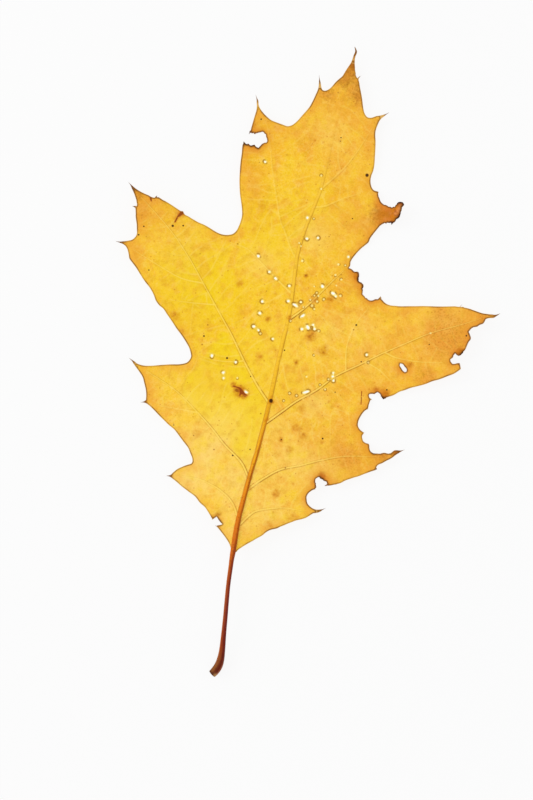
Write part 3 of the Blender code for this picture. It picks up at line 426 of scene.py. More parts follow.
# Large soft tints of the blade: middle, reach and strength
LEMON_TINTS = (
    (-12, 52, 15, 0.7), (-27, 74, 17, 0.9), (-8, 62, 10, 0.7), (-14, 94, 13, 0.6), (-3, 102, 11, 0.55),
    (-5, 88, 8, 0.4), (5, 52, 8, 0.45), (-8, 80, 6, 0.5),
)
PALE_TINTS = (
    (-12, 22, 15, 1.3), (5, 13, 12, 0.55), (4, 62, 12, 0.2), (-25, 38, 12, 0.4), (-37, 86, 9, 0.15),
    (24, 66, 9, 0.35), (3, 124, 8, 0.2), (22, 73, 6, 0.4), (15, 45, 12, 0.2), (10, 29, 11, 0.6),
    (44, 79, 9, 0.55), (-17, 17, 8, 1.3), (-5, 7, 6, 1.3), (-12, 86, 5, 0.5), (4, 38, 7, 0.4),
    (12, 70, 5, 0.45), (18, 29, 8, 0.7), (-5, 31, 5, 0.4), (-1, 128, 6, 0.5), (2, 97, 6, 0.5),
    (13, 48, 5, 0.6), (48, 72, 4, 0.6), (14, 72, 4, 0.5), (1, 8, 4, 0.7),
)
AMBER_TINTS = (
    (48, 77, 15, 1), (58, 85, 8, 0.9), (-51, 92, 8, 0.85), (15, 104, 10, 0.75), (28, 60, 14, 0.55),
    (16, 82, 11, 0.45), (27, 35, 11, 0.9), (37, 38, 9, 0.9), (2, 141, 14, 0.7), (-20, 125, 9, 0.5),
    (23, 109, 7, 1), (-38, 44, 8, 0.4), (12, 42, 15, 0.2), (35, 74, 12, 0.7), (9, 118, 12, 0.45),
    (-22, 108, 7, 0.5), (44, 63, 7, 1), (44, 83, 6, 1), (12, 127, 6, 0.7), (-12, 126, 5, 0.6),
    (1, 149, 9, 1), (30, 79, 7, 0.6), (34, 81, 5, 0.8), (-50, 80, 6, 0.7), (-18, 48, 6, 0.3),
    (-29, 64, 4, 0.3), (-15, 96, 4, 0.25),
)
# How strong each side vein shows, and how dark its borders are
VEIN_FORCE = (0.8, 1, 1, 0.9, 0.6, 0.8, 1, 1.1, 1.2, 0.7, 0.5)
VEIN_SHADE = (0.6, 0.75, 0.7, 0.2, 0.1, 0.7, 0.85, 0.95, 0.85, 0.2, 0.5)


def paint(red, green, blue):
    """A screen colour, from 0 to 255 each, as the linear values that a shader takes."""
    levels = [level / 255 for level in (red, green, blue)]
    return tuple(level / 12.92 if level <= 0.04045 else ((level + 0.055) / 1.055) ** 2.4
                 for level in levels) + (1.0,)


GOLD = paint(250, 200, 48)
DEEP_GOLD = paint(246, 186, 30)
LEMON = paint(245, 209, 18)
PALE_GOLD = paint(252, 213, 112)
CREAM = paint(255, 230, 122)
SKIN = paint(255, 242, 158)
AMBER = paint(238, 164, 54)
ORANGE = paint(218, 124, 30)
OLIVE = paint(208, 148, 22)
OCHRE = paint(206, 124, 8)
SCORCH = paint(178, 88, 12)
ROLL_HIGHLIGHT = paint(226, 146, 78)
HOLE_RIM = paint(166, 112, 18)
GNAWED_RIM = paint(136, 84, 26)
EDGE_LIGHT = paint(228, 182, 104)
CUT_FACE = paint(198, 150, 92)
RUST = paint(140, 60, 6)
UMBER = paint(54, 20, 2)
RIM = paint(122, 76, 26)
VEIN_PALE = paint(254, 222, 104)
VEIN_LINE = paint(170, 106, 16)
RIB_LINE = paint(158, 82, 10)
FOOT_SIDE = paint(160, 84, 48)
FOOT_MIDDLE = paint(92, 26, 2)


def lift(x, y):
    """Height of the blade's lower face over the table, in millimetres."""
    out_x = np.maximum(0, np.abs(x - REST_MIDDLE[0]) - REST_HALF[0])
    out_y = np.maximum(0, np.abs(y - REST_MIDDLE[1]) - REST_HALF[1])
    away = np.hypot(out_x, out_y)
    around = np.arctan2(y - REST_MIDDLE[1], x - REST_MIDDLE[0])
    lobes = 1 + sum(share * np.cos(waves * around + start) for waves, share, start in CURL_WAVES)
    height, length_x, length_y = CROSS_RIPPLE
    ripple = height * np.sin(x / length_x) * np.sin(y / length_y)
    height, length = SLANT_RIPPLE
    ripple = ripple + height * np.sin((x + y) / length)
    curl = CURL_SLOPE * away * away / (away + CURL_SOFTNESS)
    outer = np.minimum(1, away / MARGIN_REACH) ** 2
    from_tip = np.hypot(x - CURLED_TIP[0], y - CURLED_TIP[1])
    rolled = CURLED_TIP_LIFT * np.exp(-((from_tip / CURLED_TIP_SPREAD) ** 2))
    ridge = smooth_path(CURL_RIDGE, 0.3)
    beside_ridge = np.min([np.hypot(x - ridge_x, y - ridge_y) for ridge_x, ridge_y in ridge], axis=0)
    height, half_width = CURL_RIDGE_SIZE
    rolled = rolled + height * np.exp(-((beside_ridge / half_width) ** 2))
    return curl * lobes + outer * (MARGIN_LIFT + ripple) + rolled


def unit(rows):
    """Each row at a length of one."""
    return rows / np.linalg.norm(rows, axis=-1, keepdims=True)


def curve_between(start, end, leave, arrive, t):
    """A point on the smooth curve that leaves one point and arrives at the next."""
    return ((2 * t ** 3 - 3 * t ** 2 + 1) * start + (t ** 3 - 2 * t ** 2 + t) * leave
            + (3 * t ** 2 - 2 * t ** 3) * end + (t ** 3 - t ** 2) * arrive)


def smooth_path(points, step):
    """Points a step apart on a smooth curve through the given ones."""
    points = np.array(points, float)
    slopes = np.gradient(points, axis=0)
    fine = []
    for start, end, leave, arrive in zip(points, points[1:], slopes, slopes[1:]):
        pieces = max(1, round(float(np.linalg.norm((end - start)[:2])) / step))
        fine += [curve_between(start, end, leave, arrive, piece / pieces)
                 for piece in range(pieces)]
    fine.append(points[-1])
    return np.array(fine)


def closed_path(loop, step):
    """A closed loop's points as a smooth path that ends where it began."""
    return smooth_path(np.vstack((loop, loop[:1])), step)


def smooth_edge(corners, step):
    """A closed edge as a fine line, curved except where it turns sharply."""
    corners = np.array(corners, float)
    after = np.roll(corners, -1, axis=0)
    before = np.roll(corners, 1, axis=0)
    turns = (unit(corners - before) * unit(after - corners)).sum(axis=1)
    sharp = np.degrees(np.arccos(np.clip(turns, -1, 1))) > SHARP_TURN
    through = unit(after - before)
    fine = []
    for here in range(len(corners)):
        there = (here + 1) % len(corners)
        leg = corners[there] - corners[here]
        length = np.linalg.norm(leg)
        leave = leg if sharp[here] else through[here] * length
        arrive = leg if sharp[there] else through[there] * length
        pieces = max(1, round(float(length) / step))
        fine += [curve_between(corners[here], corners[there], leave, arrive, piece / pieces)
                 for piece in range(pieces)]
    return np.array(fine)


def near_spots(points, spots):
    """The strongest of some soft round spots at each point; a spot is x, y, reach, strength."""
    strongest = np.zeros(len(points))
    for x, y, reach, strength in spots:
        gap = np.hypot(points[:, 0] - x, points[:, 1] - y) / reach
        strongest = np.maximum(strongest, strength * np.exp(-gap * gap))
    return strongest


def near_field(points):
    """1 well inside the greener field, 0 well outside it, with a soft change at its edge."""
    loop = np.array(LEMON_FIELD, float)
    gap, _ = near_points(points, closed_path(loop, 0.4))
    return np.clip(0.5 + np.where(inside(points, loop), gap, -gap) / FIELD_SOFTNESS, 0, 1)


def near_points(points, marks):
    """Each point's distance to the nearest mark, and which mark that is."""
    tree = KDTree(len(marks))
    for index, mark in enumerate(marks):
        tree.insert((mark[0], mark[1], 0), index)
    tree.balance()
    found = [tree.find((x, y, 0)) for x, y in points]
    return np.array([gap for _, _, gap in found]), np.array([index for _, index, _ in found])


def near_sized(points, marks, share):
    """Each point's distance to the nearest mark, over a share of that mark's size, its third value."""
    gap, which = near_points(points, marks)
    return gap / (share * np.array(marks, float)[:, 2])[which]


def near_line(points, path, reach):
    """Each point's distance to a line, its share of the way along, and its side: 1 is right."""
    gap = np.full(len(points), np.inf)
    share = np.zeros(len(points))
    side = np.ones(len(points))
    low, high = path.min(axis=0) - reach, path.max(axis=0) + reach
    near = np.flatnonzero(((points > low) & (points < high)).all(axis=1))
    for index, (start, end) in enumerate(zip(path, path[1:])):
        along = end - start
        off = points[near] - start
        t = np.clip(off @ along / (along @ along), 0, 1)
        far = np.linalg.norm(off - t[:, None] * along, axis=1)
        closer = far < gap[near]
        rows = near[closer]
        gap[rows] = far[closer]
        share[rows] = (index + t[closer]) / (len(path) - 1)
        side[rows] = np.sign(along[1] * off[closer, 0] - along[0] * off[closer, 1])
    return gap, share, side


def inside(points, loop):
    """Which of the points lie inside a closed loop, by counting the edges to their right."""
    found = np.zeros(len(points), bool)
    low, high = loop.min(axis=0), loop.max(axis=0)
    near = np.flatnonzero(((points > low) & (points < high)).all(axis=1))
    x, y = points[near].T
    odd = np.zeros(len(near), bool)
    for (x0, y0), (x1, y1) in zip(loop, np.roll(loop, -1, axis=0)):
        if y0 != y1:
            odd ^= ((y0 > y) != (y1 > y)) & (x < x0 + (y - y0) * (x1 - x0) / (y1 - y0))
    found[near] = odd
    return found


def leaf_edge():
    """The margin, ragged where it is gnawed, with each bristle drawn out thin."""
    edge = smooth_edge(MARGIN, EDGE_STEP)
    ragged = np.minimum(1, 1.6 * near_spots(edge, [(x, y, reach, 1) for x, y, reach, brown in GNAWED
                                                   if brown >= RAGGED_BROWN]))
    ragged[ragged < 0.5] = 0
    dice = random.Random(4)
    shifts = np.array([(dice.uniform(-1, 1), dice.uniform(-1, 1)) for _ in edge])
    edge = edge + RAGGEDNESS * ragged[:, None] * shifts
    for tip in np.array(TIPS, float)[:, :2]:
        away = np.linalg.norm(edge - tip, axis=1)
        ring = (away > 0.6 * BRISTLE_REACH) & (away < BRISTLE_REACH)
        if not ring.any():
            continue
        axis = unit(edge[ring].mean(axis=0) - tip)
        across = np.array((-axis[1], axis[0]))
        rows = away < BRISTLE_REACH
        off = edge[rows] - tip
        along = off @ axis
        keep = np.interp(along, (0, 0.5 * BRISTLE_REACH, BRISTLE_REACH), (0.35, 0.5, 1))
        edge[rows] = tip + np.outer(along, axis) + np.outer(off @ across * keep, across)
    return edge


def hole_edges():
    """The small holes' edges, a little uneven."""
    dice = random.Random(11)
    edges = []
    holes = SMALL_HOLES + tuple((x, y, width, width, 0) for x, y, width in PIN_HOLES)
    for x, y, length, width, turn in holes:
        turn = math.radians(turn)
        sides = max(9, round(math.pi * length / HOLE_STEP))
        loop = []
        for side in range(sides):
            angle = 2 * math.pi * side / sides
            uneven = HOLE_SHARE * dice.uniform(0.75, 1.15)
            along = length / 2 * math.cos(angle) * uneven
            across = width / 2 * math.sin(angle) * uneven
            loop.append((x + along * math.cos(turn) - across * math.sin(turn),
                         y + along * math.sin(turn) + across * math.cos(turn)))
        edges.append(np.array(loop))
    return edges


def veins():
    """Each raised vein: its fine middle line, root half-width, root height, force and darkness."""
    made = [(smooth_path(MIDRIB, VEIN_STEP), *MIDRIB_SIZE, 1, 0)]
    width, height = SIDE_VEIN_SIZE
    made += [(smooth_path(vein, VEIN_STEP), width, height * force, force, shade)
             for vein, force, shade in zip(SIDE_VEINS, VEIN_FORCE, VEIN_SHADE)]
    made += [(smooth_path(vein, VEIN_STEP), *BRANCH_SIZE, BRANCH_FORCE, BRANCH_SHADE)
             for vein in BRANCHES]
    return made


def cross_veins(strong, edge):
    """The thin ladder veins that leave the strong ones and stop where they meet another line."""
    dice = random.Random(23)
    marks = [tuple(point) + (-1,) for point in edge]
    for index, (path, *_) in enumerate(strong):
        marks += [tuple(point) + (index,) for point in path]
    found = []
    for index, (path, *_) in enumerate(strong[1:], 1):
        for side in (1, -1):
            tree = KDTree(len(marks))
            for row, mark in enumerate(marks):
                tree.insert((mark[0], mark[1], 0), row)
            tree.balance()
            fresh = []
            place = dice.uniform(2, 4)
            while place < (len(path) - 2) * VEIN_STEP:
                here = int(place / VEIN_STEP)
                along = unit(path[here + 1] - path[here])
                lean = math.radians(dice.uniform(*CROSS_VEIN_LEAN)) * side
                way = np.array((along[0] * math.cos(lean) - along[1] * math.sin(lean),
                                along[0] * math.sin(lean) + along[1] * math.cos(lean)))
                line = [path[here]]
                for step in range(CROSS_VEIN_STEPS):
                    turn = dice.uniform(-0.13, 0.13)
                    way = unit(way + turn * np.array((-way[1], way[0])))
                    point = line[-1] + way * CROSS_VEIN_STEP
                    _, row, gap = tree.find((point[0], point[1], 0))
                    if gap < 0.4 and (marks[row][2] != index or step > 5):
                        break
                    line.append(point)
                if len(line) > 4:
                    fresh.append(np.array(line))
                place += dice.uniform(*CROSS_VEIN_GAP)
            found += fresh
            marks += [tuple(point) + (FRESH_MARK,) for line in fresh for point in line]
    return found


class Plan:
    """The points and fixed edges that the blade's mesh is drawn through."""

    def __init__(self, edge, holes):
        self.edge = edge
        self.holes = holes
        self.points = []
        self.edges = []
        for loop in [edge] + holes:
            first = len(self.points)
            self.points += [tuple(point) for point in loop]
            self.edges += [(first + i, first + (i + 1) % len(loop)) for i in range(len(loop))]

    def on_blade(self, points):
        """Which of the points lie on the blade, inside its edge and outside every hole."""
        kept = inside(points, self.edge)
        for hole in self.holes:
            kept &= ~inside(points, hole)
        return kept

    def add_rows(self, rows, gap):
        """Add rows of points and the edges between neighbours, without crowding what is there."""
        marks = list(self.points)
        for row in rows:
            if len(row) == 0:
                continue
            far, _ = near_points(row, marks)
            good = (far >= gap) & self.on_blade(row)
            last = None
            for point, kept in zip(row, good):
                if kept:
                    self.points.append(tuple(point))
                    if last is not None:
                        self.edges.append((last, len(self.points) - 1))
                    last = len(self.points) - 1
                else:
                    last = None

    def add_free(self, points, gap):
        """Add loose points, without crowding what is there."""
        points = points[self.on_blade(points)]
        far, _ = near_points(points, self.points)
        self.points += [tuple(point) for point in points[far >= gap]]


def beside(path, width):
    """A line that runs beside another at a distance, which may change along it."""
    along = unit(np.gradient(path, axis=0))
    return path + np.column_stack((-along[:, 1], along[:, 0])) * np.reshape(width, (-1, 1))


def vein_width(root, share):
    """A vein's half-width a share of the way along, half as much at its end as at its root."""
    return root * (1 - 0.5 * share)


def lattice(low, high, step):
    """An even triangular grid between two corners."""
    row_gap = step * math.sqrt(3) / 2
    rows = np.arange(int((high[1] - low[1]) / row_gap) + 1)
    columns = np.arange(int((high[0] - low[0]) / step) + 1)
    x, y = np.meshgrid(low[0] + columns * step, low[1] + rows * row_gap)
    x = x + (step / 2 * (rows % 2))[:, None]
    return np.column_stack((x.ravel(), y.ravel()))


def ring(middle, radius, sides):
    """Points round a circle."""
    return [(middle[0] + radius * math.cos(2 * math.pi * side / sides),
             middle[1] + radius * math.sin(2 * math.pi * side / sides)) for side in range(sides)]


def marks_on(mesh, name, values):
    """Keep one number for each point of a mesh, for its finish to read."""
    mesh.attributes.new(name, "FLOAT", "POINT").data.foreach_set("value", values.astype(np.float32))


def only(piece):
    """Select one piece alone."""
    bpy.ops.object.select_all(action="DESELECT")
    piece.select_set(True)
    bpy.context.view_layer.objects.active = piece


def on_leaf(points, heights):
    """Points of the plan, in the CAD leaf's own place, in metres."""
    return np.column_stack((points[:, 0] + SHIFT[0], points[:, 1] + SHIFT[1], heights)) * MM


def draw_blade(edge, holes, strong, ladder, cracks):
    """The blade's mesh on the plan, drawn through its edge, holes, veins, cracks and specks."""
    plan = Plan(edge, holes)
    last_side = len(SIDE_VEINS) + 1
    for group, places, clearance in ((strong[:1], MIDRIB_ROWS, MIDRIB_CLEARANCE),
                                     (strong[1:last_side], VEIN_ROWS, VEIN_CLEARANCE),
                                     (strong[last_side:], VEIN_ROWS, VEIN_CLEARANCE)):
        rows = []
        for path, root_width, *_ in group:
            width = vein_width(root_width, np.linspace(0, 1, len(path)))
            rows += [beside(path, place * width) for place in places]
        plan.add_rows(rows, clearance)
    plan.add_rows(ladder, LADDER_CLEARANCE)
    plan.add_rows([crack[:, :2] for crack in cracks], CRACK_CLEARANCE)
    plan.add_rows([np.array([(x, y)] + ring((x, y), 1.15 * radius, 8))
                   for x, y, radius in SPECKS], SPECK_CLEARANCE)
    plan.add_rows([np.array([(x, y)] + ring((x, y), 0.3 * width, 6) + ring((x, y), 0.6 * width, 10))
                   for x, y, width in WINDOWS], WINDOW_CLEARANCE)
    for low, high, step in ((np.array(CURL_LOW), np.array(CURL_HIGH), CURL_STEP),
                            (edge.min(axis=0), edge.max(axis=0), MESH_STEP)):
        plan.add_free(lattice(low, high, step), GRID_CLEARANCE * step)

    flat = [Vector(point) for point in plan.points]
    points, _, faces, _, _, _ = delaunay_2d_cdt(flat, plan.edges, [], 0, PLAN_MERGE)
    points = np.array(points)
    faces = np.array(faces)
    faces = faces[plan.on_blade(points[faces].mean(axis=1))]
    used = np.unique(faces)
    return points[used], np.searchsorted(used, faces)


def vein_marks(points, strong):
    """Each point's height on the veins, distance to them in millimetres, and its vein marks."""
    ribs = np.zeros(len(points))
    vein_gap = np.full(len(points), FAR)
    vein_mm = np.full(len(points), FAR)
    force = np.zeros(len(points))
    shade = np.zeros(len(points))
    sides = np.ones(len(points))
    for number, (path, root_width, root_height, strength, darkness) in enumerate(strong):
        gap, share, side = near_line(points, path, RIB_REACH if number == 0 else VEIN_REACH)
        width = vein_width(root_width, share)
        height = root_height * (1 - share) ** (3 if number == 0 else 1.5) + 0.02
        bulge = np.clip(1 - (gap / width) ** 2, 0, 1)
        ribs = np.maximum(ribs, height * bulge)
        vein_mm = np.minimum(vein_mm, gap)
        if number == 0:
            midrib_gap = np.clip(gap / width, 0, FAR) * side
        else:
            closer = gap / width < vein_gap
            vein_gap[closer] = (gap / width)[closer]
            force[closer] = (strength * (1 - 0.5 * share))[closer]
            sides[closer] = side[closer]
            shade[closer] = (darkness * (1 - 0.35 * share))[closer]
    return ribs, vein_mm, {"midrib": midrib_gap, "vein": vein_gap, "vein_force": force,
                           "vein_shade": shade, "vein_side": sides * np.minimum(vein_gap, 2)}


def blade():
    """The blade as one thin sheet with raised veins, small holes and a thinner edge."""
    edge = leaf_edge()
    torn = smooth_edge(TORN_HOLE, EDGE_STEP)
    holes = hole_edges()
    strong = veins()
    ladder = cross_veins(strong, edge)
    cracks = [smooth_path(crack, 0.3) for crack in CRACKS]
    points, faces = draw_blade(edge, [torn] + holes, strong, ladder, cracks)

    edge_gap, _ = near_points(points, np.vstack([closed_path(loop, FINE_STEP)
                                                 for loop in (edge, torn)]))
    hole_gap, _ = near_points(points, np.vstack([closed_path(hole, FINE_STEP) for hole in holes]))
    ladder_gap, _ = near_points(points, np.vstack([smooth_path(line, 0.2) for line in ladder]))
    speck_gap = near_sized(points, SPECKS, 1)
    crack_gap = near_sized(points, np.vstack([smooth_path(crack, FINE_STEP) for crack in cracks]), 1)
    window_gap = near_sized(points, WINDOWS, 0.5)
    tip_gap = near_sized(points, TIPS, 1)
    ribs, vein_mm, marks = vein_marks(points, strong)
    thin = EDGE_THICKNESS + (BLADE_THICKNESS - EDGE_THICKNESS) * np.clip(
        np.minimum(edge_gap, hole_gap) / EDGE_TAPER, 0, 1)
    height, reach = CREASE
    crease = height * np.exp(-((np.minimum(vein_mm, ladder_gap + 0.2) / reach) ** 2))
    height, reach = LADDER_RIDGE
    ridge = height * np.clip(1 - ladder_gap / reach, 0, 1)
    crack = (CRACK_DEPTH * np.clip(1 - crack_gap, 0, 1)
             + WINDOW_DEPTH * np.clip(1.4 - window_gap, 0, 1))
    thickness = np.maximum(EDGE_THICKNESS, thin + ribs * np.clip(edge_gap / 0.8, 0, 1) + ridge - crack)

    mesh = bpy.data.meshes.new("leaf_blade")
    corners = on_leaf(points, lift(points[:, 0], points[:, 1]) + crease)
    mesh.from_pydata(corners.tolist(), [], faces.tolist())
    for name, gap, most in (("edge_mm", edge_gap, FAR), ("hole_mm", hole_gap, FAR),
                            ("ladder_mm", ladder_gap, FAR), ("speck", speck_gap, FAR),
                            ("crack", crack_gap, FAR), ("window", window_gap, FAR),
                            ("tip_mm", tip_gap, 2 * FAR)):
        marks[name] = np.minimum(gap, most)
    for name, spots in (("charred", CHARRED), ("patch", PATCHES), ("scorch", SCORCHED),
                        ("rolled", ROLL_HIGHLIGHT_SPOTS), ("pale", PALE_TINTS), ("amber", AMBER_TINTS)):
        marks[name] = near_spots(points, spots)
    marks["gnawed"] = np.minimum(1, 1.5 * near_spots(points, GNAWED))
    marks["lemon"] = np.maximum(near_spots(points, LEMON_TINTS), near_field(points))
    for name, values in marks.items():
        marks_on(mesh, name, values)
    piece = bpy.data.objects.new("leaf_blade", mesh)
    bpy.context.scene.collection.objects.link(piece)
    weights = piece.vertex_groups.new(name="thickness")
    thickest = float(thickness.max())
    for index, value in enumerate(thickness):
        weights.add([index], float(value) / thickest, "REPLACE")
    skin = piece.modifiers.new("thickness", "SOLIDIFY")
    skin.thickness = thickest * MM
    skin.offset = 1.0
    skin.vertex_group = weights.name
    only(piece)
    bpy.ops.object.modifier_apply(modifier=skin.name)
    bpy.ops.object.shade_smooth_by_angle(angle=SMOOTH_ANGLE)
    return piece


def stalk():
    """The stalk as a swept tube, from its swollen, cut foot to where it sinks in the midrib."""
    section = bpy.data.curves.new("stalk section", "CURVE")
    section.dimensions = "2D"
    spline = section.splines.new("POLY")
    spline.points.add(STALK_SIDES - 1)
    spline.use_cyclic_u = True
    for side, point in enumerate(spline.points):
        angle = 2 * math.pi * side / STALK_SIDES
        radius = 1 + 0.05 * math.cos(3 * angle + 0.6) + 0.025 * math.cos(7 * angle)
        point.co = (radius * math.cos(angle) * MM, radius * math.sin(angle) * MM, 0, 1)
    section_piece = bpy.data.objects.new("stalk section", section)
    bpy.context.scene.collection.objects.link(section_piece)

    path = smooth_path(STALK, STALK_STEP)
    x, y, radius, rise = path.T
    joint_lift = lift(np.zeros(1), np.zeros(1))[0]
    ground = np.where(y > 0, lift(x, y), joint_lift * (1 - STALK_DROOP * (y / STALK_LENGTH) ** 2))
    route = bpy.data.curves.new("leaf_stalk", "CURVE")
    route.dimensions = "3D"
    route.bevel_mode = "OBJECT"
    route.bevel_object = section_piece
    route.use_fill_caps = True
    spline = route.splines.new("POLY")
    spline.points.add(len(path) - 1)
    for point, place, size in zip(spline.points, on_leaf(path[:, :2], ground + rise), radius):
        point.co = tuple(place) + (1,)
        point.radius = size
    piece = bpy.data.objects.new("leaf_stalk", route)
    bpy.context.scene.collection.objects.link(piece)
    only(piece)
    bpy.ops.object.convert(target="MESH")
    piece = bpy.context.view_layer.objects.active
    bpy.ops.object.mode_set(mode="EDIT")
    bpy.ops.mesh.select_all(action="SELECT")
    bpy.ops.mesh.remove_doubles(threshold=1e-6)
    bpy.ops.mesh.normals_make_consistent(inside=False)
    bpy.ops.mesh.select_all(action="DESELECT")
    bpy.ops.mesh.select_mode(type="FACE")
    bpy.ops.object.mode_set(mode="OBJECT")
    for face in piece.data.polygons:
        face.select = len(face.vertices) == 3 and face.center.y < 0.9 * CAD_LOW.y
    bpy.ops.object.mode_set(mode="EDIT")
    bpy.ops.mesh.dissolve_faces()
    bpy.ops.mesh.inset(thickness=CUT_RIM * MM, depth=-CUT_DEPTH * MM)
    bpy.ops.object.mode_set(mode="OBJECT")
    bpy.data.objects.remove(section_piece)

    corners = np.array([corner.co[:] for corner in piece.data.vertices]) / MM
    plan_points = corners[:, :2] - np.array(SHIFT)
    gap, share, side = near_line(plan_points, path[::-1, :2], 4)
    sizes = np.interp(share, np.linspace(0, 1, len(path)), radius[::-1])
    from_foot = share * (len(path) - 1) * STALK_STEP
    height = corners[:, 2] - np.interp(share, np.linspace(0, 1, len(path)), (ground + rise)[::-1])
    marks_on(piece.data, "midrib", gap / sizes * side)
    marks_on(piece.data, "foot_mm", from_foot)
    marks_on(piece.data, "cut", (np.hypot(gap, height) < 0.9 * sizes) & (from_foot < 0.5))
    marks_on(piece.data, "scar", near_spots(plan_points, (SCAR,)))
    marks_on(piece.data, "patch", near_spots(plan_points, PATCHES))
    only(piece)
    bpy.ops.object.shade_smooth_by_angle(angle=SMOOTH_ANGLE)
    return piece


class Tone:
    """One output of a material's nodes. A sum or product of tones adds its Math nodes."""

    def __init__(self, finish, socket):
        self.finish = finish
        self.socket = socket

    def maths(self, operation, *values):
        return self.finish.node("ShaderNodeMath", {"operation": operation}, values)

    def __add__(self, other):
        return self.maths("ADD", self, other)

    def __radd__(self, other):
        return self.maths("ADD", other, self)

    def __sub__(self, other):
        return self.maths("SUBTRACT", self, other)

    def __rsub__(self, other):
        return self.maths("SUBTRACT", other, self)

    def __mul__(self, other):
        return self.maths("MULTIPLY", self, other)

    def __rmul__(self, other):
        return self.maths("MULTIPLY", other, self)

    def __abs__(self):
        return self.maths("ABSOLUTE", self)


class Finish:
    """A material, and the few kinds of node that the leaf's finishes are made of."""

    def __init__(self, name, colour=None):
        self.colour = colour
        self.material = bpy.data.materials.new(name)
        self.material.use_nodes = True
        self.tree = self.material.node_tree
        self.shader = self.tree.nodes["Principled BSDF"]
        coordinates = self.node("ShaderNodeTexCoord", {}, (), "Object")
        self.place = self.node("ShaderNodeVectorMath", {"operation": "SCALE"},
                               {0: coordinates, "Scale": 1 / MM})

    def node(self, kind, settings, values, output=0):
        """A new node of a kind, with its settings and its sockets' values or links."""
        made = self.tree.nodes.new(kind)
        for name, value in settings.items():
            if name == "stops":
                self.set_stops(made.color_ramp, value)
            else:
                setattr(made, name, value)
        for key, value in values.items() if isinstance(values, dict) else enumerate(values):
            self.feed(made.inputs[key], value)
        return Tone(self, made.outputs[output])

    def set_stops(self, ramp, stops):
        while len(ramp.elements) > 1:
            ramp.elements.remove(ramp.elements[-1])
        ramp.elements[0].position, ramp.elements[0].color = stops[0]
        for position, colour in stops[1:]:
            ramp.elements.new(position).color = colour

    def feed(self, socket, value):
        if isinstance(value, Tone):
            self.tree.links.new(value.socket, socket)
        else:
            socket.default_value = value

    def mark(self, name):
        return self.node("ShaderNodeAttribute", {"attribute_name": name}, (), "Fac")

    def fade(self, value, start, end):
        """0 up to the start, 1 from the end on, smooth between; they may run backwards."""
        return self.node("ShaderNodeMapRange", {"interpolation_type": "SMOOTHSTEP"},
                         (value, start, end, 0.0, 1.0))

    def noise(self, size, detail, place=None):
        return self.node("ShaderNodeTexNoise", {},
                         {"Vector": place or self.place, "Scale": 1 / size, "Detail": detail})

    def scatter(self, size):
        """Scattered points: how far each place is from the nearest, and that point's own dice."""
        cells = self.node("ShaderNodeTexVoronoi", {}, {"Vector": self.place, "Scale": 1 / size})
        colour = Tone(self, cells.socket.node.outputs["Color"])
        return cells, self.node("ShaderNodeSeparateColor", {}, (colour,))

    def mix(self, share, first, second):
        return self.node("ShaderNodeMix", {"data_type": "RGBA"}, {0: share, 6: first, 7: second}, 2)

    def tint(self, share, colour):
        """Lay a colour over the finish so far, as strongly as the share says."""
        self.colour = self.mix(share, self.colour, colour)

    def complete(self, rough, relief, strength, shine):
        """Feed the shader its colour, roughness and fine relief, and set how much it shines."""
        self.feed(self.shader.inputs["Base Color"], self.colour)
        self.feed(self.shader.inputs["Roughness"], rough)
        bump = self.node("ShaderNodeBump", {}, {"Strength": strength, "Distance": 0.1 * MM,
                                                "Height": relief}, "Normal")
        self.feed(self.shader.inputs["Normal"], bump)
        self.shader.inputs["Specular IOR Level"].default_value = shine
        return self.material

    def along(self):
        """How far up the leaf a place is, from 0 at the stalk's foot to 1 at the tip."""
        y = self.node("ShaderNodeSeparateXYZ", {}, (self.place,), "Y")
        return self.node("ShaderNodeMapRange", {}, (y, CAD_LOW.y / MM, CAD_HIGH.y / MM, 0.0, 1.0))


def rib_colours(finish, across):
    """The stalk's and midrib's colour along the leaf, darker on its right side: partly its own deeper
    red, partly painted shade from the lamp on the left.
    """
    length = (CAD_HIGH.y - CAD_LOW.y) / MM
    stops = [((y + STALK_FOOT) / length, paint(*colour)) for y, colour in RIB_TONES]
    light = finish.node("ShaderNodeValToRGB", {"stops": stops}, (finish.along(),))
    stops = [((y + STALK_FOOT) / length, paint(*colour)) for y, colour in RIB_SHADOWS]
    dark = finish.node("ShaderNodeValToRGB", {"stops": stops}, (finish.along(),))
    streak = finish.noise(1, 3, finish.node("ShaderNodeVectorMath", {"operation": "MULTIPLY"},
                                            (finish.place, (2.4, 0.22, 2.4))))
    bare = finish.fade(finish.along(), BARE_STALK[0], BARE_STALK[1])
    # Painted shade, in part: the right side takes the darker ramp, as the side turned away from the
    # lamp on the left
    shaded = finish.fade(across + 0.9 * (streak - 0.5) + 0.4 * bare, 0.05, 0.65)
    return finish.mix(shaded, light, dark), streak


